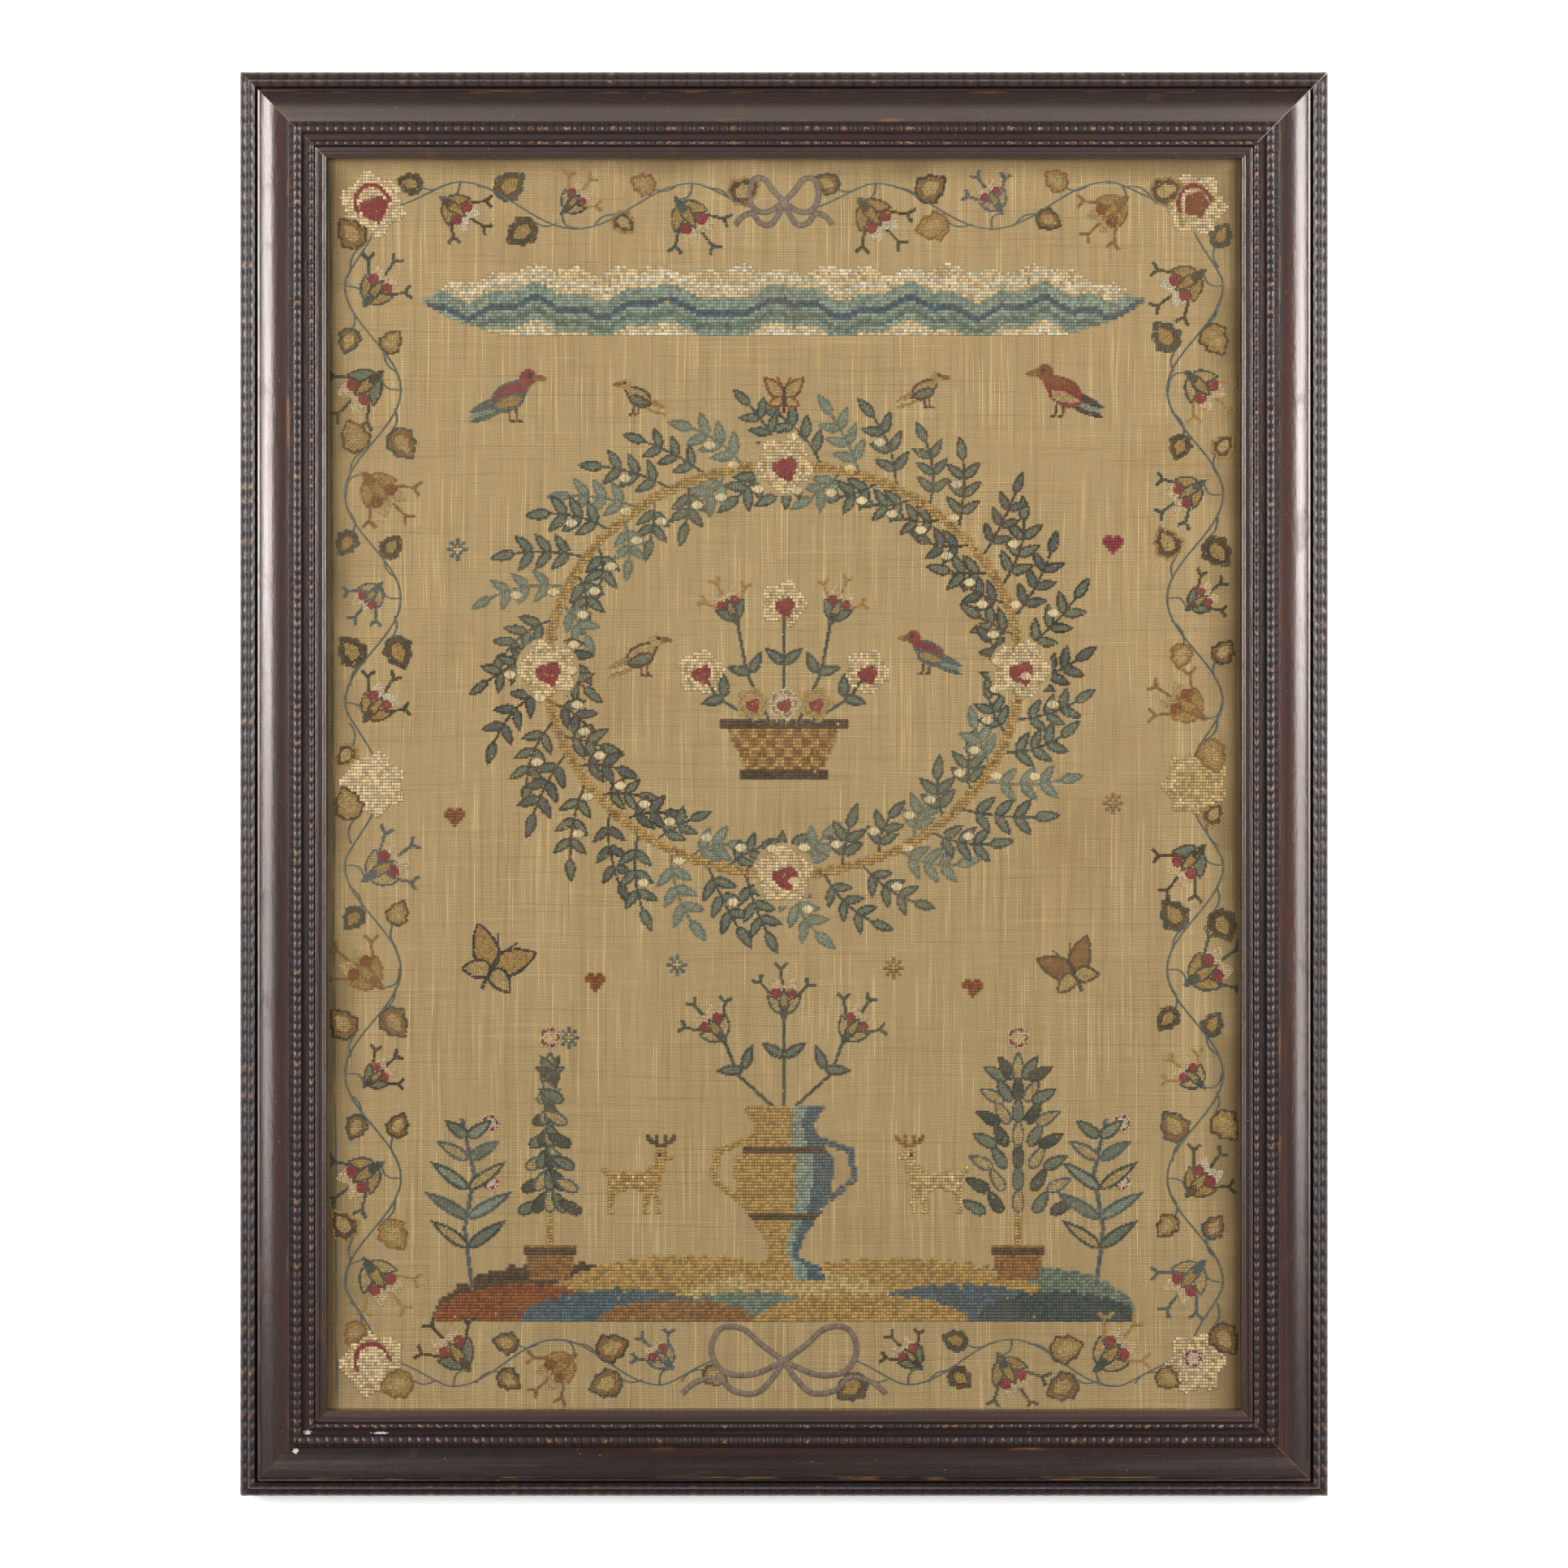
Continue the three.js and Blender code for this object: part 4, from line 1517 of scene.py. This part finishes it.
def vine_stretch(start, end, bends, swing, first_side):
    """Points of one meander from start to end, and its hollows as (point, outward direction)."""
    start, end = np.array(start, float), np.array(end, float)
    along = end - start
    normal = np.array((-along[1], along[0])) / np.linalg.norm(along)
    points, hollows = [], []
    for step in range(bends * 14 + 1):
        share = step / (bends * 14)
        ease = min(1.0, 0.55 + share * bends, 0.55 + (1 - share) * bends)
        points.append(start + along * share
                      + normal * swing * first_side * math.sin(math.pi * bends * share) * ease)
    for bend in range(bends):
        share = (bend + 0.5) / bends
        side = first_side * (-1) ** bend
        hollows.append((start + along * share, normal * side))
    return [tuple(point) for point in points], hollows


def border_stretches():
    """The eight stretches of vine: start, end, bends, swing and the side of the first bend."""
    x, y = CORNER
    clear = 12
    stretches = []
    for side in (-1, 1):
        stretches.append(((side * x, y - clear), (side * x, clear), 5, VINE_SWING, side))
        stretches.append(((side * x, -y + clear), (side * x, -clear), 5, VINE_SWING, -side))
        for end, bow in ((1, 14), (-1, 30)):
            stretches.append(((side * (x - clear), end * y), (side * bow, end * (y - 1)), 3,
                              VINE_SWING - 2, -side * end))
    return stretches


# Edge, body and heart of a border leaf
LEAF_COLOURS = [
    ("teal", "brown", "gold"), ("olive", "ochre", "straw"), ("brown", "olive", "gold"),
    ("teal", "ochre", "straw"), ("gold", "brown", "straw"), ("brown", "gold", "straw"),
    ("ochre", "gold", "straw"),
]
BUD_COLOURS = [
    ("teal", "straw", "cream", "crimson", "gold"), ("teal", "gold", "cream", "crimson", "teal"),
    ("olive", "sage", "cream", "crimson", "olive"), ("ochre", "gold", "straw", "rust", "ochre"),
    ("slate", "straw", "cream", "crimson", "slate"), ("brown", "gold", "silk", "crimson", "olive"),
]


def border_leaf(work, foot, pointing, reach, edge, body, heart):
    """A broad notched leaf with a paler heart."""
    work.fine.leaf(*foot, pointing, reach * 1.08, reach * 0.86, edge, body, 3, 1.3)
    work.fine.leaf(*onward(*foot, pointing, reach * 0.24), pointing, reach * 0.6, reach * 0.38,
                   None, heart, 2)


def border(work, rng):
    """Fills the border's roses, buds and leaves; gives the paths of the vine and its stalks."""
    x, y = CORNER
    paths = []
    rose(work, -x, y, 13.5, 6, "cream", "cream", "crimson", 0.3, "crimson")
    rose(work, x, y, 13, 6, "cream", "straw", None, 0.1, "crimson")
    rose(work, x + 0.5, y, 5.5, 5, "rust", "crimson")
    rose(work, -x, -y, 13.5, 5, "cream", "straw", None, 0.6, "crimson")
    rose(work, x, -y, 12.5, 6, "cream", "straw", None, 0.9)
    rose(work, x - 1, -y + 2, 4.5, 5, "silk", "crimson")
    for side, body in ((-1, "cream"), (1, "straw")):
        rose(work, side * x, 0, 13.5, 7, body, "cream", None, 0.4 * side)
    number = 0
    for start, end, bends, swing, side in border_stretches():
        points, hollows = vine_stretch(start, end, bends, swing, side)
        paths.append(points)
        for middle, normal in hollows:
            number += 1
            tangent = np.array((-normal[1], normal[0]))
            # The bud hangs in the hollow, on a stalk from the vine's crest
            crest = middle + normal * swing * 0.96
            lean = rng.uniform(0.5, 0.95) * (1 if number % 3 else -1)
            size = rng.uniform(22, 27) if number % 4 else 19
            seat = middle + normal * swing * 0.3 + tangent * math.sin(lean) * size * 0.42
            inner = math.atan2(-normal[1], -normal[0]) + lean
            paths.append(curl(crest, seat))
            colours = BUD_COLOURS[number % len(BUD_COLOURS)]
            bud(work, *seat, inner, size, *colours)
            # Leaves on short stalks, either side of the crest
            for way, reach in ((-1, 13.5), (1, 10.5)):
                away = rng.uniform(12.5, 16.0)
                root = middle + normal * swing * 0.55 + tangent * way * away
                foot = root + normal * 3.5 * way * (number % 2 - 0.5) + tangent * way * 2.5
                pointing = math.atan2(*(tangent * way + normal * rng.uniform(0.2, 0.9))[::-1])
                stalk_start = middle + normal * swing * 0.8 + tangent * way * away * 0.6
                paths.append(curl(stalk_start, foot, 0.15))
                colours = LEAF_COLOURS[(number * 2 + way) % len(LEAF_COLOURS)]
                border_leaf(work, foot, pointing, reach, *colours)
    return paths


def curl(start, end, bulge=0.28):
    """A short bent stalk between two points."""
    start, end = np.array(start), np.array(end)
    way = end - start
    side = np.array((-way[1], way[0])) * bulge
    return [
        tuple(start + way * share + side * math.sin(math.pi * share))
        for share in np.linspace(0, 1, 7)
    ]


def spline(points, steps=7):
    """A smooth curve through given points."""
    points = [np.array(point, float) for point in points]
    points = [2 * points[0] - points[1], *points, 2 * points[-1] - points[-2]]
    curve = []
    for a, b, c, d in zip(points, points[1:], points[2:], points[3:]):
        for step in range(steps):
            t = step / steps
            curve.append(tuple(0.5 * (
                2 * b + (c - a) * t + (2 * a - 5 * b + 4 * c - d) * t * t
                + (3 * b - a - 3 * c + d) * t ** 3
            )))
    curve.append(tuple(points[-2]))
    return curve


# One half of a bow, from its knot: a loop, and a tail
BOW_LOOP = [(0, 0), (7, 6), (13, 12), (20, 12), (23, 4), (19, -4), (10, -5), (0, 0)]
BOW_TAIL = [(0, 0), (4, -7), (9, -12), (16, -11), (21, -6), (28, -8), (32, -12)]


def bow_paths(x, y, scale, lift):
    """Both loops and both tails of a ribbon bow."""
    paths = []
    for side in (-1, 1):
        for shape in (BOW_LOOP, BOW_TAIL):
            paths.append(spline([
                (x + side * px * scale, y + py * scale * lift) for px, py in shape
            ]))
    return paths


# Thread forms: how much of a stitch each leg reaches over
UNDER_REACH = 0.86
OVER_REACH = 0.76
TENT_REACH = 0.62


def unit_thread():
    """A thread of length, width and height 1 with pointed ends, stretched where it is laid."""
    points = [(-0.5, 0, 0)]
    for x in (-0.3, 0.3):
        points += [(x, -0.5, 0.35), (x, 0, 1), (x, 0.5, 0.35)]
    points.append((0.5, 0, 0))
    faces = []
    for k in range(3):
        after = (k + 1) % 3
        faces += [(0, 1 + after, 1 + k), (1 + k, 1 + after, 4 + after, 4 + k)]
        faces += [(7, 4 + k, 4 + after)]
    return points, faces


def half_across(start, end, width):
    """Half of a thread's width, as a step to its left side."""
    way = end - start
    return np.array((-way[1], way[0])) / np.linalg.norm(way) * width / 2


def prism(reach, width, rise, base):
    """A low three-sided thread from -reach to reach, cut off square."""
    start, end = -np.array(reach), np.array(reach)
    side = half_across(start, end, width)
    low, high = base + rise * 0.35, base + rise
    points = []
    for middle in (start, end):
        points += [(*(middle + side), low), (*middle, high), (*(middle - side), low)]
    faces = [(0, 1, 2), (3, 4, 5)]
    faces += [(k, (k + 1) % 3, 3 + (k + 1) % 3, 3 + k) for k in range(3)]
    return points, faces


def tuft(reach, width, rise):
    """A short thread in four faces from -reach to reach, widest and highest in its middle."""
    start, end = -np.array(reach), np.array(reach)
    side = half_across(start, end, width)
    points = [(*start, 0), (*end, 0), (*side, rise), (*-side, rise)]
    return points, [(0, 1, 2), (0, 2, 3), (0, 3, 1), (1, 3, 2)]


def thread_form(name, *legs):
    """A small object made of one or more threads, to be repeated."""
    points, faces = [], []
    for leg_points, leg_faces in legs:
        shift = len(points)
        points += leg_points
        faces += [tuple(index + shift for index in face) for face in leg_faces]
    mesh = bpy.data.meshes.new(name)
    mesh.from_pydata(points, [], faces)
    outward = bmesh.new()
    outward.from_mesh(mesh)
    bmesh.ops.recalc_face_normals(outward, faces=outward.faces)
    outward.to_mesh(mesh)
    outward.free()
    mesh.polygons.foreach_set("use_smooth", [True] * len(mesh.polygons))
    return placed_object(name, mesh)


def path_object(name, paths):
    """Curves on the linen from pairs of points and half a thread's length, their radius."""
    data = bpy.data.curves.new(name, "CURVE")
    data.dimensions = "3D"
    for path, radius in paths:
        flat = np.array(path) * MM
        heights = linen_height(flat[:, 0], flat[:, 1])
        line = data.splines.new("POLY")
        line.points.add(len(flat) - 1)
        for place, point in enumerate(line.points):
            point.co = (*flat[place], heights[place] + 0.1 * MM, 1)
            point.radius = radius[place] if isinstance(radius, list) else radius
    return placed_object(name, data)


def disc_path(x, y, radius, steps=7):
    """A straight path across a disc and the half lengths of the threads that fill it."""
    shares = np.linspace(-0.96, 0.96, steps)
    path = [(x + share * radius, y) for share in shares]
    return path, [max(0.2, math.sqrt(1 - share ** 2)) * radius * MM for share in shares]


def design():
    """The whole counted design, and the paths of its laid threads; the same each time."""
    sizes = bpy.context.scene.sampler_sizes
    rng = np.random.default_rng(sizes.seed)
    work = Sampler(sizes.stitch_width, sizes.stitch_height)
    flame_band(work)
    hill_ground(work)
    fruits = wreath(work, rng)
    basket(work)
    footed_urn(work)
    for side in (-1, 1):
        cone_tree(work, side * 96, side)
        flowering_spray(work, side * 128, side)
    spot_motifs(work)
    vines = border(work, rng)
    work.settle(rng)
    return work, fruits, vines


# Operators

class PieceOperator(bpy.types.Operator):
    """Shared settings of the sampler's operators."""

    bl_options = {"REGISTER", "UNDO"}


class SAMPLER_OT_rails(PieceOperator):
    """Builds the four main rails of the frame"""

    bl_idname = "sampler.rails"
    bl_label = "Main Rails"

    def execute(self, context):
        board = context.scene.sampler_colours.board
        side_x = HALF_WIDTH - 0.1 * MM
        side_y = HALF_HEIGHT - 0.1 * MM
        for number, side in enumerate(SIDES):
            rail = swept_strip(f"frame_rail_{side}", side, rail_rows(), STATION_LENGTH, RAIL_WANDER,
                               number)
            rail.data.materials.append(stained_wood(f"Stained rail {side}", side))
            rail.data.materials.append(bare_wood(f"Bare rail back {side}", board, side))
            # The back and the rebate never had any stain
            for face in rail.data.polygons:
                below = face.center.z < LEDGE_HEIGHT + 0.1 * MM
                outside = abs(face.center.x) > side_x or abs(face.center.y) > side_y
                if below and not outside and face.normal.z < 0.5:
                    face.material_index = 1
            smooth(rail.data, 34)
            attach(rail, "root")
            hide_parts(f"rail_{side}")
        return {"FINISHED"}


class SAMPLER_OT_ripples(PieceOperator):
    """Builds the twelve strips that are cut in ripples"""

    bl_idname = "sampler.ripples"
    bl_label = "Ripple Strips"

    def execute(self, context):
        sizes = context.scene.sampler_sizes
        # Kind, section, pitch, stations to a ripple, depth, unevenness and share worn bare
        kinds = [
            ("outer", outer_strip_rows, sizes.outer_pitch, 8, sizes.outer_depth, 0.18, 0.15),
            ("broad", broad_strip_rows, sizes.inner_pitch, 6, sizes.inner_depth, 0.3, 0.2),
            ("fine", fine_strip_rows, sizes.inner_pitch, 6, sizes.inner_depth, 0.3, 0.36),
        ]
        for kind, rows, pitch, steps, depth, uneven, bare_share in kinds:
            upright = ripple_wood(f"Ripple wood {kind} upright", "left", bare_share)
            across = ripple_wood(f"Ripple wood {kind} across", "top", bare_share)
            for number, side in enumerate(SIDES):
                straight = swept_strip(f"straight_{kind}_{side}", side, rows(), pitch / steps)
                piece = apply_tree(straight, ripple_tree(), {
                    "Pitch": pitch, "Depth": depth, "Unevenness": uneven,
                    "Seed": sizes.seed + 17 * number,
                    "Material": across if side in ("top", "bottom") else upright,
                }, f"{kind}_ripples_{side}")
                smooth(piece.data, 50)
                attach(piece, "root")
                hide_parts(f"{kind}_ripple_{side}")
        return {"FINISHED"}


class SAMPLER_OT_slips(PieceOperator):
    """Builds the four slips with the bevelled sight edge"""

    bl_idname = "sampler.slips"
    bl_label = "Sight Slips"

    def execute(self, context):
        for side in SIDES:
            slip = swept_strip(f"slip_{side}", side, slip_rows(), STATION_LENGTH)
            slip.data.materials.append(stained_wood(f"Stained slip {side}", side, slip=True))
            smooth(slip.data, 34)
            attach(slip, "root")
            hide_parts(f"sight_slip_{side}")
        return {"FINISHED"}


class SAMPLER_OT_backboard(PieceOperator):
    """Finishes the board behind the linen"""

    bl_idname = "sampler.backboard"
    bl_label = "Backboard"

    def execute(self, context):
        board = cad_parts["backboard"]
        board.data.materials.clear()
        board.data.materials.append(
            bare_wood("Bare board", context.scene.sampler_colours.board, "left"))
        return {"FINISHED"}


class SAMPLER_OT_linen(PieceOperator):
    """Builds the linen ground"""

    bl_idname = "sampler.linen"
    bl_label = "Linen Ground"

    def execute(self, context):
        sheet = placed_object("linen_sheet", linen_mesh(columns=72, rows=98))
        sheet.data.materials.append(linen_material())
        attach(sheet, "root")
        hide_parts("linen_ground")
        return {"FINISHED"}


class SAMPLER_OT_stitches(PieceOperator):
    """Works the counted design in cross stitch and tent stitch, a piece for each thread"""

    bl_idname = "sampler.stitches"
    bl_label = "Counted Stitches"

    def execute(self, context):
        sizes = context.scene.sampler_sizes
        colours = context.scene.sampler_colours
        work = design()[0]
        half = Vector((sizes.stitch_width, sizes.stitch_height)) / 2
        width, rise = sizes.thread_width, sizes.thread_rise
        falling = Vector((half.x, -half.y))
        cross = thread_form(
            "cross_stitch_form",
            prism(falling * UNDER_REACH, width * 1.2, rise, 0.0),
            prism(half * OVER_REACH, width * 1.4, rise * 1.9, 0.02 * MM),
        )
        tent = thread_form("tent_stitch_form", tuft(half * TENT_REACH, width * 0.85, rise * 1.1))
        for canvas, form, kind in ((work.coarse, cross, "cross"), (work.fine, tent, "tent")):
            for number, name in enumerate(THREAD_NAMES):
                picked = canvas.thread == number + 1
                if not picked.any():
                    continue
                x = canvas.x[picked] * MM
                y = canvas.y[picked] * MM
                mesh = bpy.data.meshes.new(f"{name}_points")
                mesh.from_pydata(np.stack([x, y, linen_height(x, y)], axis=-1).tolist(), [], [])
                points = placed_object(f"{name}_points", mesh)
                dye = name.capitalize()
                material = (bpy.data.materials.get(f"{dye} thread")
                            or thread_material(dye, getattr(colours, name)))
                piece = apply_tree(points, counted_stitch_tree(), {
                    "Stitch": form, "Seed": sizes.seed + number, "Material": material,
                }, f"{kind}_stitches_{name}")
                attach(piece, "root")
        discard(cross, tent)
        return {"FINISHED"}


class SAMPLER_OT_laid_threads(PieceOperator):
    """Works the vine in stem stitch, and the ribbons and fruits in satin stitch"""

    bl_idname = "sampler.laid_threads"
    bl_label = "Laid Threads"

    def execute(self, context):
        sizes = context.scene.sampler_sizes
        colours = context.scene.sampler_colours
        _, fruits, vines = design()
        form = thread_form("laid_thread_form", unit_thread())
        bows = bow_paths(0, CORNER[1] + 1, 0.62, 1.25) + bow_paths(0, -CORNER[1] + 1, 1.3, 0.85)
        fruit_paths = [disc_path(fx, fy, 2.3) for fx, fy in fruits]
        # Each with its paths and half lengths of thread, the threads' spacing and their slant
        work = [
            ("vine", [(path, 0.95 * MM) for path in vines], 0.85 * MM, 0.16),
            ("ribbon", [(path, 1.35 * MM) for path in bows], 0.36 * MM, 1.35),
            ("fruit", fruit_paths, 0.42 * MM, 1.57),
        ]
        for number, (name, paths, spacing, slant) in enumerate(work):
            source = path_object(f"{name}_paths", paths)
            piece = apply_tree(source, laid_thread_tree(), {
                "Thread": form, "Spacing": spacing, "Slant": slant, "Width": 0.5 * MM,
                "Rise": 0.32 * MM, "Seed": sizes.seed + 31 * number,
                "Material": thread_material(name.capitalize(), getattr(colours, name), 0.25),
            }, f"laid_{name}")
            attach(piece, "root")
        discard(form)
        return {"FINISHED"}


# The photo's width and the frame's width in it, in pixels
PHOTO_PIXELS = 1932
FRAME_PIXELS = 1339.8

# The camera stands a little above the middle, and the frame's outline lies at OUTLINE_HEIGHT
CAMERA_HEIGHT = 1.3
CAMERA_OFFSET = 0.06
OUTLINE_HEIGHT = 11 * MM
SENSOR = 36.0

FLOOR_HALF = 3.0
FLOOR_GLOW = 0.38
SKY_STRENGTH = 0.12
LAMP_ASIDE = 0.85
LAMP_HEIGHT = 0.77
LAMP_WIDTH = 0.62
# Lamps over each side of the frame: where it starts and ends along Y, and its power
LAMPS = {"far": (0.0, 0.62, 12.2), "near": (-0.41, 0.0, 3.1)}


class SAMPLER_OT_stage(PieceOperator):
    """Sets out the floor, the lights and the camera"""

    bl_idname = "sampler.stage"
    bl_label = "Stage"

    def execute(self, context):
        scene = context.scene
        mesh = bpy.data.meshes.new("floor")
        mesh.from_pydata([(x * FLOOR_HALF, y * FLOOR_HALF, 0)
                          for x, y in ((-1, -1), (1, -1), (1, 1), (-1, 1))], [], [(0, 1, 2, 3)])
        floor = placed_object("floor", mesh)
        material, shader, at = new_material(
            "Pale floor", Roughness=0.9, Emission_Color=(1, 1, 1, 1), Emission_Strength=FLOOR_GLOW)
        base = wire(at.tree, "ShaderNodeRGB")
        base.socket.default_value = (*scene.sampler_colours.floor, 1)
        connect(shader, Base_Color=shade(base, ramp(speckle(at, 3, 2), 0.3, 0.7, 0.98, 1.0)))
        floor.data.materials.append(material)

        for side in (-1, 1):
            for which, (low, high, power) in LAMPS.items():
                name = f"light_{which}_{'left' if side < 0 else 'right'}"
                data = bpy.data.lights.new(name, "AREA")
                data.shape = "RECTANGLE"
                data.size, data.size_y = high - low, LAMP_WIDTH
                data.energy = power
                lamp = placed_object(name, data)
                lamp.location = (side * LAMP_ASIDE, (low + high) / 2, LAMP_HEIGHT)
                inward = Vector((-side * LAMP_ASIDE, 0, -LAMP_HEIGHT))
                lamp.rotation_euler = inward.to_track_quat("-Z", "Y").to_euler()

        world = bpy.data.worlds.new("Studio")
        world.use_nodes = True
        sky = world.node_tree.nodes["Background"]
        sky.inputs["Color"].default_value = (1, 1, 1, 1)
        sky.inputs["Strength"].default_value = SKY_STRENGTH
        scene.world = world

        data = bpy.data.cameras.new("photo_camera")
        camera = placed_object("photo_camera", data)
        shown_width = 2 * HALF_WIDTH * PHOTO_PIXELS / FRAME_PIXELS
        data.sensor_width = SENSOR
        data.lens = SENSOR * (CAMERA_HEIGHT - OUTLINE_HEIGHT) / shown_width
        data.shift_y = -CAMERA_OFFSET / shown_width
        camera.location = (0, CAMERA_OFFSET, CAMERA_HEIGHT)
        scene.camera = camera
        scene.view_settings.view_transform = "Standard"
        return {"FINISHED"}


class SAMPLER_PT_panel(bpy.types.Panel):
    """Lists the sampler's settings and pieces"""

    bl_idname = "SAMPLER_PT_panel"
    bl_label = "Needlework Sampler"
    bl_space_type = "VIEW_3D"
    bl_region_type = "UI"
    bl_category = "Sampler"

    def draw(self, context):
        layout = self.layout
        for group in (context.scene.sampler_sizes, context.scene.sampler_colours):
            box = layout.box()
            for name in group.bl_rna.properties.keys():
                if name not in ("rna_type", "name"):
                    box.prop(group, name)
        for operator in OPERATORS:
            layout.operator(operator.bl_idname)


OPERATORS = (
    SAMPLER_OT_stage,
    SAMPLER_OT_rails,
    SAMPLER_OT_ripples,
    SAMPLER_OT_slips,
    SAMPLER_OT_backboard,
    SAMPLER_OT_linen,
    SAMPLER_OT_stitches,
    SAMPLER_OT_laid_threads,
)
CLASSES = (SamplerSizes, SamplerColours, *OPERATORS, SAMPLER_PT_panel)


def register():
    """Registers the classes and gives the scene its settings."""
    for cls in CLASSES:
        bpy.utils.register_class(cls)
    bpy.types.Scene.sampler_sizes = PointerProperty(type=SamplerSizes)
    bpy.types.Scene.sampler_colours = PointerProperty(type=SamplerColours)


def unregister():
    """Takes back what register did."""
    del bpy.types.Scene.sampler_colours
    del bpy.types.Scene.sampler_sizes
    for cls in reversed(CLASSES):
        bpy.utils.unregister_class(cls)


def main():
    """Builds the stage and every piece in order."""
    register()
    for operator in OPERATORS:
        group, name = operator.bl_idname.split(".")
        getattr(getattr(bpy.ops, group), name)()


if __name__ == "__main__":
    main()
